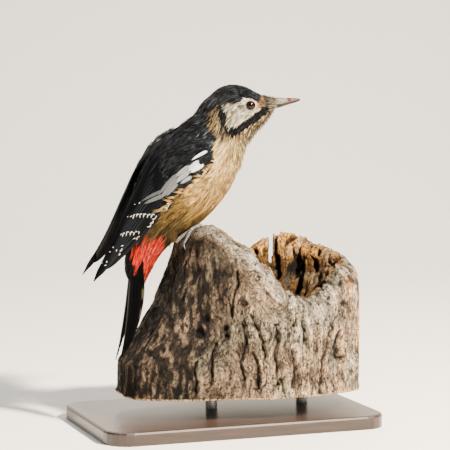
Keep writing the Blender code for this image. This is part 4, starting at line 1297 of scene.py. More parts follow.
def flank_plumes(coat, shapes, side, rng):
    """Loose buff feathers of breast and flank that lap over the wing's bend and its lower edge."""
    surface = wing_surface(side, 0.6)
    bend = scattered(surface, 0.0, 0.55, table_of((0, 1.6), (5, 1.6)), rng, 0.3, 1.0)
    edge = scattered(surface, 0.3, 5.2, table_of((0, 1.4), (6, 1.7)), rng, 1.0, 1.24)
    edge = [reading[(edge[0] < 4.3) | (edge[1] > 1.04)] for reading in edge]
    spikes = scattered(surface, 0.6, 4.2, table_of((0, 2.2), (6, 3.0)), rng, 0.95, 1.02)
    at, share = np.concatenate([bend, edge, spikes], axis=1)
    length = np.interp(at, (0, 1, 5.5), (4.5, 8.0, 11.5)) * MM * rng.uniform(0.7, 1.2, len(at))
    swing = rng.normal(-0.3, 0.2, len(at)) * np.interp(at, (0.3, 1.5, 3.8, 5.2), (0.2, 0.5, 0.5, 0.2))
    spiky = (share > 0.945) & (share < 1.02) & (rng.random(len(at)) < 0.5)
    swing = swing - rng.uniform(0.2, 0.75, len(at)) * spiky
    lift = np.where(share > 0.99, -0.9, 0.2) * MM
    path = lay(surface, at, share, length, swing, lift, rng.uniform(0.9, 1.8, len(at)) * MM, -side)
    keep = np.linalg.norm(path[0][:, -1] - path[0][:, 0], axis=1) < 1.15 * length
    path, at, share, length, spiky = kept(path, keep), at[keep], share[keep], length[keep], spiky[keep]
    tone = rng.beta(1.3, 1.3, len(at)) * (1 - 0.55 * spiky)
    body_at = np.where(spiky, 9.0, np.interp(at, (0, 3, 5.5), (9.5, 12.4, 14.6)))
    root = wing_root(side, 0.08 * np.clip(share, 0, 1), 0.5 + at / 25)
    barbs, who = barbs_of(path, 8, length * np.where(spiky, 0.09, 0.12), 0.8, rng, shortest=0.4)
    shade = np.clip(tone[who] + rng.normal(-0.05, 0.3, len(who)), 0, 1.15)
    colour = pale_colour(body_at[who], 1.9, shade)
    thick = rng.uniform(0.11, 0.19, len(who)) * MM
    coat.add(f"flank_feathers_{SIDES[side]}", shapes["barb"], barbs, thick, colour, root[who],
             shade=(0.3, 0.85, 1.2))


def pale_colour(at, turn, share):
    """The underside's colour at a section, for feathers that root elsewhere."""
    return coat_colour(at, np.full(len(at), turn), np.full(len(at), REGION["pale"]), share)


def blade_path(read, side, rows):
    """A long feather's line through a reading of one number from 0 to 1, with its sides and normals."""
    s = np.linspace(0, 1, rows + 1)
    points, beside = read(s, 0.0), read(s, 0.02)
    ways = unit(np.gradient(points, axis=0))
    normals = unit(np.cross(ways, beside - points)) * -side
    return [array[None] for array in (points, ways, unit(np.cross(normals, ways)) * -side, normals)]


def narrowed(path, share):
    """A long feather's line with its width cut to a share at each row."""
    points, ways, sides, normals = path
    return [points, ways, sides * np.minimum(1.0, share)[None, :, None], normals]


def flight_feathers(coat, shapes, side, rng):
    """The long stiff feathers of a folded wing, drawn in to its tip, the innermost on top."""
    shape, innermost = shapes["flight"], len(FLIGHT_TIPS) - 1
    s = np.linspace(0, 1, shape.rows + 1)
    for number, tip in enumerate(FLIGHT_TIPS):
        start = 3.1 + 0.5 * rng.random() + 0.02 * number
        half = np.interp(number, (0, 3, 13), (3.6, 3.1, 2.3))
        first = 0.1 + 0.84 * number / innermost
        last = np.clip(0.6 * half / chord_at(np.array(tip)), 0.08, 0.46) if tip < 9.4 else 0.46
        if number == innermost:
            last = 0.8
        stack = np.interp(number, (0, 13), (1.2, 0.15))

        def read(s, beside):
            at, share = start + (tip - start) * s, first + (last - first) * s**1.6
            depth = 1.15 - stack * np.interp(at, (3, 8, 10), (1.0, 0.75, 0.45))
            return wing_layer(at, share + beside, side, depth)

        chord = chord_at(start + (tip - start) * s)
        path = narrowed(blade_path(read, side, shape.rows), (0.3 + 0.42 * chord) / half)
        # A painted highlight along each feather's edges, fading towards its tip.
        edge = blend(0.6, 1.0, np.abs(shape.across)) ** 2 * blend(1.05, 0.45, shape.along) * 0.8
        dark = tinted(FLIGHT_BLACK, np.clip(0.04 + 0.08 * rng.random() + edge, 0, 1))
        coat.add(f"flight_feathers_{SIDES[side]}", shape, path, half * MM, dark[None],
                 blade_root(side, 0.02 + 0.03 * number), thickness=0.26 * MM, ragged=0.25 * MM, rng=rng)


def tail_feathers(coat, shapes, side, rng):
    """Half of the stiff pointed tail, black, its outermost feather barred."""
    shape, outermost = shapes["tail"], len(TAIL_BLADES) - 1
    s = np.linspace(0, 1, shape.rows + 1)
    for number, (tip, half, last) in enumerate(TAIL_BLADES):
        first = 0.1 + 0.19 * number

        def read(s, beside):
            share = first + (last - first) * s**1.3 + beside
            return tail_surface(side, 0.15 + 0.5 * number)(tip * s, share)

        width = smooth_read(FANS, tip * s)[:, 2]
        path = narrowed(blade_path(read, side, shape.rows), (0.4 + 0.75 * width) / (half * 1.6))
        down = shape.along * tip
        bars = np.clip(sum(blend(0.3, 0.16, np.abs(down - place)) for place in (2.2, 3.1, 3.9, 4.6)), 0, 1)
        bars = bars * (number == outermost) * (shape.across > 0.1)
        tone = np.clip(0.08 * rng.random() + 0.1 * (shape.along > 0.95), 0, 1)
        colour = mixed(tinted(FLIGHT_BLACK, tone), linear("#453D31"), bars)
        coat.add(f"tail_feathers_{SIDES[side]}", shape, path, half * MM, colour[None],
                 blade_root(side, 0.5 + 0.03 * number), thickness=0.35 * MM, ragged=0.5 * MM, rng=rng)


def make_wings_and_tail(coat, shapes, finishes):
    """Both wings and both halves of the tail, each side with its own random draws; gives the wings' forms."""
    cores = []
    for side in SIDES:
        rng = np.random.default_rng(31 + side)
        cores.append(make_wing_core(side, finishes))
        for layer in (wing_coverts, white_patch, flank_plumes, wing_flecks, flight_feathers, tail_feathers):
            layer(coat, shapes, side, rng)
    return cores


def thigh_plumes(coat, shapes):
    """The loose feathers of both thighs."""
    for side, label in SIDES.items():
        rng = np.random.default_rng(51 + side)
        surface = thigh_surface(side, 0.9)
        at, angle = scattered(surface, 0.05, 2.7, table_of((0, 1.5), (3, 1.3)), rng)
        length = np.interp(at, (0, 2.7), (5.5, 3.4)) * MM * rng.uniform(0.8, 1.15, len(at))
        swing, lift = rng.normal(0, 0.12, len(at)), np.full(len(at), 0.1 * MM)
        path = lay(surface, at, angle, length, swing, lift, rng.uniform(0.4, 0.9, len(at)) * MM, -1.0)
        barbs, who = barbs_of(path, 7, length * 0.28, 0.6, rng)
        tone = np.clip(rng.normal(0.5, 0.3, len(who)), 0, 1)
        colour = pale_colour(np.full(len(who), 14.5), 2.6, tone)
        root = wing_root(side, angle / 90, 0.8 + at / 30)[who]
        thick = rng.uniform(0.13, 0.22, len(who)) * MM
        coat.add(f"thigh_feathers_{label}", shapes["barb"], barbs, thick, colour, root)


# ---------------------------------------------------------------- head details

BRISTLE_DARK = ("#0A0907", "#38322A")
BRISTLE_PALE = ("#463C30", "#857C6A")
EYE_OPENING = 2.75 * MM
CORNEA_RADIUS = 2.9 * MM
CORNEA_RISE = 0.3 * MM


def bristle_paths(roots, ways, normals, length, sag):
    """Stiff hair-like feathers from roots on the face, arched by a sag in metres."""
    s = np.linspace(0, 1, BARB_ROWS + 1)[None, :, None]
    straight = roots[:, None] + ways[:, None] * s * length[:, None, None]
    points = straight + normals[:, None] * sag * s * (1 - s)
    along = unit(np.gradient(points, axis=1))
    normal = np.broadcast_to(normals[:, None], points.shape)
    side = unit(np.cross(normal, along))
    return [points, along, side, unit(np.cross(along, side))]


def make_bristles(coat, shapes):
    """The nasal tufts that lie forward over the bill's root, and the chin's short bristles."""
    rng = np.random.default_rng(71)
    count = 900
    at = rng.uniform(0.0, 1.5, count)
    angle = rng.uniform(0.1, 2.2, count) * rng.choice([-1, 1], count)
    spot, normal, _, _ = bearings(body_surface, at, angle, 1.0)
    forward = head_turned(NECK_PIVOT + np.array((1.0, 0.0, -0.12)), 1.0) - NECK_PIVOT
    upper = np.abs(angle) < 1.6
    lean = normal * rng.uniform(0.05, 0.3, count)[:, None]
    ways = unit(forward + lean + rng.normal(0, 0.08, (count, 3)))
    length = np.where(upper, rng.uniform(2.4, 5.0, count), rng.uniform(2.0, 3.6, count)) * MM
    path = bristle_paths(spot - normal * 0.2 * MM, ways, normal, length, 1.6 * MM)
    tone = np.clip(rng.normal(0.5, 0.3, count), 0, 1)
    dark = rng.random(count) < np.where(np.abs(angle) < 0.9, 0.72, 0.5)
    colour = np.where(dark[:, None], tinted(BRISTLE_DARK, tone), tinted(BRISTLE_PALE, tone))
    root = np.stack([0.3 + angle / 20, 0.01 + at / LAST_SECTION], axis=1)
    coat.add("nasal_bristles", shapes["barb"], path, rng.uniform(0.1, 0.2, count) * MM, colour, root)


def bill_reading(lower):
    """The upper or the lower half of the bill, round its long axis, closed at the mouth line."""

    def read(at, angle):
        x, top, mouth, bottom, half = np.moveaxis(smooth_read(BILL, np.clip(at, 0, 5)), -1, 0)
        close = np.sqrt(np.clip(1 - (np.clip(at - 4.55, 0, 1) / 0.46) ** 2, 0.0, 1))
        up, side = np.cos(angle), np.sin(angle)
        shoulder = 1.0 + 0.1 * np.exp(-(((np.abs(up) - 0.55) / 0.16) ** 2))
        y = half * close * np.sign(side) * np.abs(side) ** 1.05 * shoulder
        far = bottom if lower else top
        level = mouth + (-0.06 if lower else 0.06)
        outer = (up > 0) != lower
        z = level + np.where(outer, (far - mouth) * np.abs(up) ** 0.85 * close, 0.0)
        return placed(head_turned(np.stack([x, y, z], axis=-1), 1.0))

    return read


def make_bill(finishes):
    """Horn-grey and darker at the root, with one red fleck near the tip; painted shade along the mouth line
    and over the lower half, and painted highlights on the upper side and at the tip.
    """
    tip = head_turned(BILL[-1, [0, 0, 1]] * (1, 0, 1), 1.0)
    for lower, name in ((False, "bill_upper"), (True, "bill_lower")):
        form = rolled(bill_reading(lower), 110, 48, 0.0, 5.0)
        bill = finished(name, form, finishes["bill_horn"], "bill_horn")
        mm = corners(bill.data) / MM - GRIP
        reach = np.linalg.norm(mm - tip, axis=1)
        row = smooth_read(BILL, np.interp(reach, (0.0, 2.5, 7.5, 14.0, 19.5, 25.0), (5, 4, 3, 2, 1, 0)))
        top, mouth, bottom = row[:, 1], row[:, 2], row[:, 3]
        # Painted light and shade by height: dark at the mouth line and over the lower half, a highlight band
        # on the upper half's side, darker again at the top.
        if lower:
            height = (mm[:, 2] - bottom) / (mouth - bottom)
            shade = np.interp(height, (0.0, 0.3, 0.55, 0.85, 1.0), (0.04, 0.08, 0.2, 0.18, 0.03))
        else:
            height = (mm[:, 2] - mouth) / (top - mouth)
            shade = np.interp(height, (0.0, 0.12, 0.3, 0.7, 0.88, 1.0), (0.15, 0.75, 1.1, 1.0, 0.85, 0.6))
        # A painted highlight at the very tip; darker at the root.
        shade = shade * np.interp(reach, (0, 1.2, 4, 12, 18, 24), (1.1, 0.8, 0.7, 1.0, 0.85, 0.4))
        shade = shade * (0.7 + 0.6 * noise(mm, (3.0, 0.7, 0.7), 13))
        brown = blend(7.5, 2.0, reach) * blend(0.75, 0.35, height) * 0.75
        spot = blend(1.8, 1.1, np.hypot(reach - 8.0, (height - 0.7) * 3.2)) * (not lower)
        colour = shade[:, None] * mixed(1.0, linear("#B97A50"), brown)
        colour = mixed(colour, linear("#B81000"), np.clip(1.5 * spot, 0, 1))
        paint(bill, np.clip(colour, 0, 2))
        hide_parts(name)


def make_eye(name, finishes):
    """A full ball with the cornea standing a little proud, and a ring of lid skin round the opening."""
    middle, radius, forward = EYES[name], EYE_RADIUS, EYE_AXES[name]
    ahead = unit(np.cross(np.array((0.0, 0.0, 1.0)), forward))
    ahead = ahead * np.sign(ahead[0])
    up = np.cross(forward, ahead)

    def spot(depth, out, turn):
        """A place by its depth along the eye's axis, and by its distance and turn round it."""
        return (middle + forward * depth[..., None] + ahead * (out * np.cos(turn))[..., None]
                + up * (out * np.sin(turn))[..., None])

    def off_axis(mesh):
        apart = corners(mesh) - middle
        depth = apart @ forward
        return depth, np.linalg.norm(apart - depth[:, None] * forward, axis=1)

    def ball(at, angle):
        tilt = at * math.pi
        out = np.sin(tilt) * radius
        bulge = CORNEA_RISE * np.clip(1 - (out / CORNEA_RADIUS) ** 2, 0, 1) * (np.cos(tilt) > 0)
        return spot(np.cos(tilt) * radius + bulge, out, angle)

    def ring(at, angle):
        turn = at * FULL_TURN
        edge = EYE_OPENING * (1 + 0.07 * np.cos(2 * turn) + 0.03 * np.cos(3 * turn))
        out = edge + 0.62 * MM - 0.62 * MM * np.cos(angle)
        on_ball = np.sqrt(np.maximum(radius**2 - np.minimum(out, radius * 0.98) ** 2, 0))
        return spot(on_ball + 0.12 * MM + 0.3 * MM * np.sin(angle), out, turn)

    eye = finished(f"eyeball_{name}", rolled(ball, 64, 64, 0.01, 0.99), finishes["eyeball"], "eye_gloss")
    depth, out = off_axis(eye.data)
    measure(eye, "ring", np.where(depth > 0, out / radius, 1.0))
    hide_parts(f"eye_{name}")
    lid = finished(f"eyelid_{name}", rolled(ring, 96, 16), finishes["eyelid"], "head_plumage")
    measure(lid, "ring", np.clip((off_axis(lid.data)[1] - EYE_OPENING) / (1.2 * MM), 0, 1))


# ---------------------------------------------------------------- feet

PLATE_LENGTH = 1.35  # of a scute along the toe, in millimetres
PLATE_RISE = 0.28 * MM


def voxelled(name, mesh, size, smooth_steps):
    """A mesh rebuilt evenly at a size in metres and smoothed."""
    guide = loose(name, mesh)
    remesh = guide.modifiers.new("even", "REMESH")
    remesh.mode = "VOXEL"
    remesh.voxel_size = size
    relax = guide.modifiers.new("relax", "SMOOTH")
    relax.factor, relax.iterations = 0.5, smooth_steps
    mesh = applied(guide).data
    bpy.data.objects.remove(guide)
    return mesh


def along_route(route, places):
    """How far along a route of points each place's nearest spot is, in millimetres, and how far off."""
    far, best, start = np.zeros(len(places)), np.full(len(places), 1e9), 0.0
    for a, b in zip(route, route[1:]):
        length = np.linalg.norm(b - a)
        share = np.clip(((places - a) @ (b - a)) / length**2, 0, 1)
        off = np.linalg.norm(places - a - share[:, None] * (b - a), axis=1)
        nearer = off < best
        far[nearer] = start + share[nearer] * length
        best[nearer] = off[nearer]
        start += length
    return far / MM, best / MM


def foot_place(point, side):
    """A point of the right foot, or its mirror shifted for the left foot, in metres."""
    point = np.array(point)
    return placed(point * (1, -1, 1) + LEFT_FOOT_SHIFT if side > 0 else point)


def make_foot(side, bark, finishes):
    """The shank and toes, evened out, with plates that follow each other down the shank and each toe."""
    form = voxelled("foot", cad_copy(f"leg_{SIDES[side]}"), 0.26 * MM, 4)
    foot = finished(f"foot_{SIDES[side]}", form, finishes["scute"], "foot_scale")
    places = corners(foot.data)
    joint = foot_place(FOOT_JOINT, side)
    far, off = along_route([foot_place(HEEL, side), joint], places)
    for points in TOES.values():
        laid = [np.array(bark.find_nearest(Vector(foot_place(point, side)))[0]) for point in points]
        there, beside = along_route([joint, *laid], places)
        nearer = beside < off
        far[nearer], off[nearer] = there[nearer] + 0.4, beside[nearer]
    phase = np.mod(far / PLATE_LENGTH, 1.0)
    plate = np.minimum(blend(0.0, 0.35, phase), blend(1.0, 0.65, phase))
    reshape(foot, places + normals_of(foot.data) * ((plate - 0.75) * PLATE_RISE)[:, None])
    measure(foot, "scute", plate)
    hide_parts(f"leg_{SIDES[side]}")


def make_claws(side, finishes):
    """The four claws of a foot, smoothed, as one piece."""
    nodes = [f"claw_{SIDES[side]}_{toe}" for toe in TOES]
    joined = bmesh.new()
    for node in nodes:
        joined.from_mesh(cad_copy(node))
    mesh = bpy.data.meshes.new("claws")
    joined.to_mesh(mesh)
    joined.free()
    form = voxelled("claws", mesh, 0.11 * MM, 3)
    claws = finished(f"claws_{SIDES[side]}", form, finishes["claw_horn"], "claw_horn")
    paint(claws, np.ones((len(claws.data.vertices), 3)))
    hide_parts(*nodes)


def make_feet(finishes):
    """Both feet, their toes read along the perch's surface."""
    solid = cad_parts["perch_trunk"].data
    bark = BVHTree.FromPolygons([v.co[:] for v in solid.vertices], [p.vertices[:] for p in solid.polygons])
    for side in SIDES:
        make_foot(side, bark, finishes)
        make_claws(side, finishes)


# ---------------------------------------------------------------- the trunk

TRUNK_MIDDLE = np.array((48.0, 0.0))
HOLLOW_FLOOR = -62.0
SAWN_FACE, SMOOTH_BELOW = -112.2, -111.0
BARK_RADIUS = 55.0  # a bearing in radians times this is a length round the bark
# The broken edge as seen from the bird's right, and the deep cracks below it with their half widths.
RIDGE = drawn(
    (-19.4, 0.7), (-6.7, 1.3), (4.7, -8.0), (16.8, -19.4), (28.8, -31.5), (40.2, -44.9), (50.3, -50.3),
    (57.0, -52.3), (65.0, -54.3), (70.4, -44.9), (80.4, -24.8),
)
CRACKS = [
    (0.55, drawn((8.2, -31.0), (8.8, -38.8), (4.9, -49.9), (4.4, -61.0))),
    (0.5, drawn((17.7, -59.9), (22.1, -69.9), (25.5, -81.1), (27.1, -89.9))),
    (0.6, drawn((18.8, -86.6), (22.6, -95.5), (22.1, -108.8))),
    (0.6, drawn((36.0, -108.0), (35.4, -98.8), (34.3, -89.9), (35.4, -78.8), (34.6, -66.6))),
    (0.45, drawn((52.7, -64.3), (53.2, -78.8))),
    (0.8, drawn((75.4, -62.1), (72.1, -69.9), (68.2, -83.3), (64.9, -89.9), (65.5, -101.0), (63.8, -114.0))),
    (1.3, drawn((77.1, -72.1), (74.9, -83.3), (75.4, -89.9), (80.0, -88.7))),
    (0.9, drawn((38.0, -103.0), (40.5, -112.0))),
    (0.8, drawn((-20.1, -92.0), (-19.6, -112.0))),
    (0.7, drawn((-5.7, -78.8), (-9.0, -87.7), (-9.0, -108.0))),
    (0.5, drawn((12.0, -66.0), (14.0, -80.0), (11.0, -92.0), (13.0, -104.0))),
    (0.5, drawn((46.0, -84.0), (48.0, -96.0), (46.0, -110.0))),
]
# Pits by (across, up) and radius.
PITS = [(78.8, -38.9, 2.6), (81.0, -53.3, 2.4), (69.9, -48.8, 1.6), (0.5, -69.9, 2.4), (1.2, -74.5, 2.0),
        (47.1, -67.7, 1.3), (60.5, -43.5, 1.2), (86.0, -31.0, 1.6), (-14.0, -64.0, 3.6), (-17.0, -73.0, 4.4)]


def ridged(points, size, seed):
    """Thin creases: 1 along them, falling to 0 between."""
    return 1 - np.abs(noise(points, size, seed) * 2 - 1)


class Wood:
    """What the wood is at each corner of the trunk's mesh: its place, its kind, its grain and its damage."""

    def __init__(self, places, normals):
        self.mm = places / MM - GRIP
        self.height = self.mm[:, 2]
        plan = self.mm[:, :2] - TRUNK_MIDDLE
        self.radius = np.linalg.norm(plan, axis=1)
        self.bearing = np.arctan2(plan[:, 0], -plan[:, 1])
        self.spots = on_paint_plane(places)
        self.to_ridge = distance_to(RIDGE, self.spots)
        facing = np.sum(normals[:, :2] * plan, axis=1) / np.maximum(self.radius, 1e-6)
        inner_wall = blend(0.1, -0.45, facing) * (self.height > HOLLOW_FLOOR - 3) * (self.radius < 62)
        floor = (self.radius < 30) & (self.height > HOLLOW_FLOOR - 6)
        self.hollow = np.maximum(inner_wall, floor)
        self.bark = 1 - self.hollow
        self.top = blend(0.35, 0.75, normals[:, 2]) * (self.height > HOLLOW_FLOOR + 6)
        toward = normals @ np.array((math.sin(PAINT_BEARING), -math.cos(PAINT_BEARING), 0.08))
        self.near_side = blend(0.02, 0.2, toward)
        self.full_face = blend(0.3, 0.55, toward) * self.bark
        self.pebble = noise(self.mm, 1.7, 47) * 0.6 + noise(self.mm, 3.1, 48) * 0.4
        self.read_grain()
        self.read_damage()
        self.read_rot()

    def read_grain(self):
        """Upright fibres in plates, which turn to run along the broken edge near it."""
        warp = (noise(self.mm, 14.0, 41) - 0.5) * 9 + (noise(self.mm, 5.0, 42) - 0.5) * 3
        round_bark = self.bearing * BARK_RADIUS
        self.around = np.stack([round_bark + warp, self.height / 9.0, self.radius / 40.0], axis=1)
        swirl = blend(24.0, 4.0, self.to_ridge + (noise(self.mm, 9.0, 45) - 0.5) * 8) * (self.mm[:, 0] < 40)
        swirl = swirl * (self.near_side * self.bark)
        along_edge = np.stack([self.to_ridge + warp * 0.35, self.height / 40.0, self.bearing], axis=1)
        self.grain = ridged(self.around, 2.6, 44) * (1 - swirl) + ridged(along_edge, 2.3, 43) * swirl
        self.across_grain = round_bark * (1 - swirl) + self.to_ridge * swirl + warp * 0.5
        self.coarse = ridged(self.around, 7.5, 46)

    def read_damage(self):
        """Deep cracks and pits: drawn ones on the near side, and cracks of the same kind on the far side."""
        jitter = np.stack([noise(self.mm, 3.0, seed) for seed in (51, 52)], axis=1) * 2.4 - 1.2
        self.crack = np.zeros(len(self.mm))
        for half, line in CRACKS:
            near = blend(half + 0.75, half * 0.4, distance_to(line, self.spots + jitter))
            self.crack = np.maximum(self.crack, near * self.full_face)
        far = blend(0.94, 0.985, ridged(self.around * (0.5, 0.55, 1.0), 9.0, 53)) * self.bark
        far = far * (1 - self.near_side) * blend(-6.0, -20.0, self.height)
        self.crack = np.maximum(self.crack, far)
        self.pit = np.zeros(len(self.mm))
        for across, up, size in PITS:
            off = np.linalg.norm(self.spots + jitter * 0.6 - (across, up), axis=1)
            self.pit = np.maximum(self.pit, blend(size * 1.25, size * 0.5, off) * self.full_face)

    def read_rot(self):
        """The hollow's rotten wood: upright columns, and the comb of holes eaten between them."""
        round_hollow = self.bearing * 42.0 + (noise(self.mm, 8.0, 61) - 0.5) * 6
        fibres = np.stack([round_hollow, self.height / 4.5, self.radius / 3.0], axis=1)
        self.columns = ridged(fibres, 3.0, 62)
        holes = noise(self.mm * (1, 1, 0.3), 3.4, 63) * 0.7 + 0.3 * (1 - self.columns)
        self.comb = blend(0.46, 0.58, holes)

    def depth(self):
        """How far the wood lies below the plain trunk, in millimetres; little by the feet and the saw cut."""
        feet = [np.array(FOOT_JOINT) * (1, side, 1) + (-3, 0, -2) for side in SIDES]
        off = np.minimum(*(np.linalg.norm(self.mm - foot, axis=1) for foot in feet))
        free = self.bark * blend(13.0, 19.0, off)
        relief = 0.75 * self.grain**3 + 0.8 * self.coarse**4 + 0.5 * self.pebble
        splinters = self.top * (0.8 * noise(self.mm, 1.4, 64) + 0.6 * self.grain**2)
        rot = self.hollow * (3.6 * self.comb + 1.3 * self.columns**2 - 1.2)
        deep = (relief + splinters) * free + 0.12 * self.pebble + 2.2 * self.crack + 2.6 * self.pit + rot
        return np.where(self.height < SMOOTH_BELOW, 0.1, deep)

    def bark_colour(self):
        """Tan and grey plates, dark in the grain, with an ochre patch to the right; to the left, a painted
        shadow, painted shade and painted highlights.
        """
        mm, across, up = self.mm, self.spots[:, 0], self.spots[:, 1]
        tan = tinted(("#33271C", "#A89078"), np.clip(0.75 * noise(mm, 9.0, 71) + 0.45 * self.pebble, 0, 1))
        grey = tinted(("#372E25", "#A69983"), self.pebble)
        colour = mixed(tan, grey, blend(0.45, 0.8, noise(mm, (13.0, 13.0, 22.0), 72)))
        ochre = blend(0.6, 0.8, noise(mm, (7.0, 7.0, 20.0), 73)) * blend(70.0, 85.0, across) * self.near_side
        colour = mixed(colour, linear("#C08A4C"), 0.6 * ochre)
        furrow = blend(0.6, 0.92, self.grain) * (0.35 + 0.65 * blend(0.3, 0.7, noise(mm, 6.0, 74)))
        # Painted shadow of the bird and the overhang, low on the left of the near side, broken up by noise.
        painted_shadow = blend(12.0, -12.0, across - 0.25 * up - 14) * blend(-16.0, -34.0, up) * self.near_side
        painted_shadow = 0.75 * painted_shadow * (0.35 + 0.9 * blend(0.3, 0.6, noise(mm, (1.8, 1.8, 8.0), 78)))
        # Painted highlights: light flecks of raking light towards the left.
        flecks = blend(0.5, 0.8, noise(mm, (1.0, 1.0, 3.0), 79)) * blend(40.0, 10.0, across)
        shade = (1 - 0.8 * furrow) * (1 - np.clip(painted_shadow, 0, 0.92) * self.bark) * (1 + 0.5 * flecks)
        # Painted shade: the bark darker towards the left side, by up to 0.6.
        return colour * (shade * (1 - 0.6 * blend(42.0, 2.0, across) * self.bark))[:, None]

    def torn_colour(self):
        """Paler fresh wood of the broken edge and top."""
        light = tinted(("#2E261C", "#9E9686"), np.clip(0.35 * self.pebble + 0.75 * (1 - self.grain**2), 0, 1))
        return light * (1 - 0.6 * self.top)[:, None]

    def torn_share(self):
        """How much of the wood is torn: the broken edge, the top, and a notch to the right."""
        edge = blend(8.5, 3.0, self.to_ridge + (noise(self.mm, 4.0, 75) - 0.5) * 4) * self.near_side
        vee = np.linalg.norm((self.spots - (64.0, -60.0)) * (1.0, 1.3), axis=1)
        vee = 0.75 * blend(20.0, 8.0, vee) * self.near_side
        return np.clip(np.maximum(np.maximum(edge, self.top), vee) * (1 - 0.9 * self.hollow), 0, 1)

    def rot_colour(self):
        """Crumbling orange-brown wood with painted shade in its holes and lower down the hollow, greyed in
        patches.
        """
        tone = np.clip(noise(self.mm, 2.4, 76) * 0.8 + 0.3 * (1 - self.columns), 0, 1)
        # Painted shade: dark in the comb's holes and deeper down the hollow.
        deep = (1 - 0.95 * self.comb) * (0.14 + 0.86 * blend(-38.0, -16.0, self.height))
        rotten = tinted(("#241204", "#C8924E"), tone) * deep[:, None]
        greyed = tinted(("#4A3D30", "#A08C70"), self.pebble)
        return mixed(rotten, greyed, 0.45 * blend(0.5, 0.75, noise(self.mm, 8.0, 77)))

    def colour(self):
        """The wood's colour, with painted shade darkening its cracks and pits, and its sawn face fresh."""
        colour = mixed(self.bark_colour(), self.torn_colour(), self.torn_share())
        colour = mixed(colour, self.rot_colour(), self.hollow)
        # Painted shade in the cracks and pits.
        colour *= ((1 - 0.93 * self.crack) * (1 - 0.9 * self.pit))[:, None]
        colour[self.height < SAWN_FACE] = linear("#B79468")
        return np.clip(colour, 0.002, 0.9)


def make_trunk(finishes):
    """The perch: the CAD trunk's form, evened out, carved and coloured as broken weathered wood."""
    form = voxelled("trunk_form", cad_copy("perch_trunk"), 1.0 * MM, 3)
    trunk = finished("broken_trunk", form, finishes["weathered_wood"], "bark")
    places, normals = corners(trunk.data), normals_of(trunk.data)
    wood = Wood(places, normals)
    measure(trunk, "across_grain", wood.across_grain)
    reshape(trunk, places - normals * (wood.depth() * MM)[:, None])
    paint(trunk, wood.colour())
    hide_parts("perch_trunk")
    print(f"trunk: {len(trunk.data.polygons) * 2} triangles")


# ---------------------------------------------------------------- putting it together


def make_bird(finishes):
    """Skin, wings, tail and coat, then bill, eyes and feet."""
    coat = Coat()
    shapes = {
        "barb": barb_shape(),
        "blade": vane_shape(pointed_tip, rows=20, camber=0.16, rib=0.5),
        "flight": vane_shape(long_tip, rows=72, camber=0.1, rib=0.6),
        "tail": vane_shape(pointed_tip, rows=48, camber=0.14, rib=0.9),
    }
    make_skin(finishes)
    cores = make_wings_and_tail(coat, shapes, finishes)
    for core, label in zip(cores, SIDES.values()):
        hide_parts(f"tail_{label}")
    wings = [BVHTree.FromObject(core, bpy.context.evaluated_depsgraph_get()) for core in cores]
    make_body_coat(coat, shapes, wings)
    thigh_plumes(coat, shapes)
    make_bristles(coat, shapes)
    coat.make(finishes)
    make_bill(finishes)
    for label in SIDES.values():
        make_eye(label, finishes)
    make_feet(finishes)


def dress_stand(finishes):
    """The stand keeps its solids: only their finish is put on."""
    stand = {"stand_board": "lacquered_wood", "stand_rod_1": "brushed_steel", "stand_rod_2": "brushed_steel"}
    for node, finish in stand.items():
        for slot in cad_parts[node].material_slots:
            slot.material = finishes[finish]


def area_light(name, aim, bearing, height, reach, size, watts, colour):
    """A square soft light, `reach` metres from what it is aimed at, at a bearing and height in degrees."""
    light = bpy.data.lights.new(name, "AREA")
    light.size, light.energy, light.color = size, watts, tuple(linear(colour))
    lamp = loose(name, light)
    out = Vector(outward_way(math.radians(bearing), math.radians(height)))
    lamp.location = Vector(aim) + out * reach
    lamp.rotation_euler = out.to_track_quat("Z", "Y").to_euler()


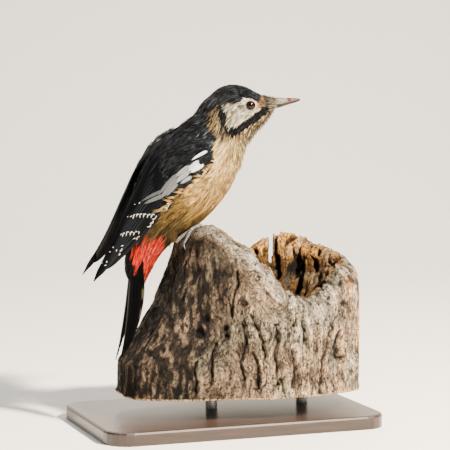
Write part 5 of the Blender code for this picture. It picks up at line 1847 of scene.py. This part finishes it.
def make_floor():
    """A pale floor that sweeps up behind the model, square to the camera."""
    profile = [(-3.0, 0.0), (0.9, 0.0)]
    profile += [(0.9 + 0.8 * math.sin(t), 0.8 - 0.8 * math.cos(t)) for t in np.linspace(0.1, math.pi / 2, 16)]
    profile.append((1.7, 3.0))
    bm = bmesh.new()
    line = [bm.verts.new((-4.0, back, up)) for back, up in profile]
    edges = [bm.edges.new(pair) for pair in zip(line, line[1:])]
    bmesh.ops.extrude_edge_only(bm, edges=edges)
    bm.verts.ensure_lookup_table()
    bmesh.ops.translate(bm, verts=bm.verts[len(line):], vec=(8.0, 0.0, 0.0))
    bmesh.ops.rotate(bm, verts=bm.verts, matrix=Matrix.Rotation(PAINT_BEARING, 3, "Z"))
    bmesh.ops.recalc_face_normals(bm, faces=bm.faces)
    mesh = bpy.data.meshes.new("floor")
    bm.to_mesh(mesh)
    bm.free()
    mesh.shade_smooth()
    floor = loose("floor", mesh)
    finish = Finish("plain_floor", {
        "Roughness": 0.9, "Specular IOR Level": 0.2, "Base Color": (*linear("#DEDBD5"), 1.0),
    })
    mesh.materials.append(finish.material)


def make_lights():
    """A dim sky, a warm key light, and soft fill, backdrop and rim lights."""
    world = bpy.data.worlds.new("studio")
    bpy.context.scene.world = world
    world.use_nodes = True
    sky = world.node_tree.nodes["Background"]
    sky.inputs["Color"].default_value = (*linear("#DDE8F6"), 1.0)
    sky.inputs["Strength"].default_value = 0.22
    aim = placed(np.array((0.0, 0.0, 20.0)))
    area_light("key", aim, 30.0, 40.0, 1.3, 0.12, 150.0, "#FFF0DA")
    area_light("fill", aim, -75.0, 18.0, 1.6, 1.1, 2.2, "#DCE8F8")
    area_light("backdrop", placed(np.array((0.0, 1500.0, 500.0))), -20.0, 62.0, 1.5, 1.6, 30.0, "#F4F6FA")
    area_light("rim", aim, 160.0, 40.0, 1.4, 0.5, 12.0, "#FFF6E8")


def make_camera():
    """The camera looks square at the plane that the markings are drawn on."""
    back = Vector(outward_way(PAINT_BEARING, PAINT_HEIGHT))
    camera = bpy.data.cameras.new("camera")
    camera.lens, camera.sensor_width = 150.0, 36.0
    camera.clip_start, camera.clip_end = 0.1, 30.0
    view = loose("camera", camera)
    view.location = Vector(placed(PAINT_MIDDLE)) + back * PAINT_DISTANCE * MM
    view.rotation_euler = back.to_track_quat("Z", "Y").to_euler()
    bpy.context.scene.camera = view


FINISHES = make_finishes()
make_trunk(FINISHES)
make_bird(FINISHES)
dress_stand(FINISHES)
make_floor()
make_lights()
make_camera()
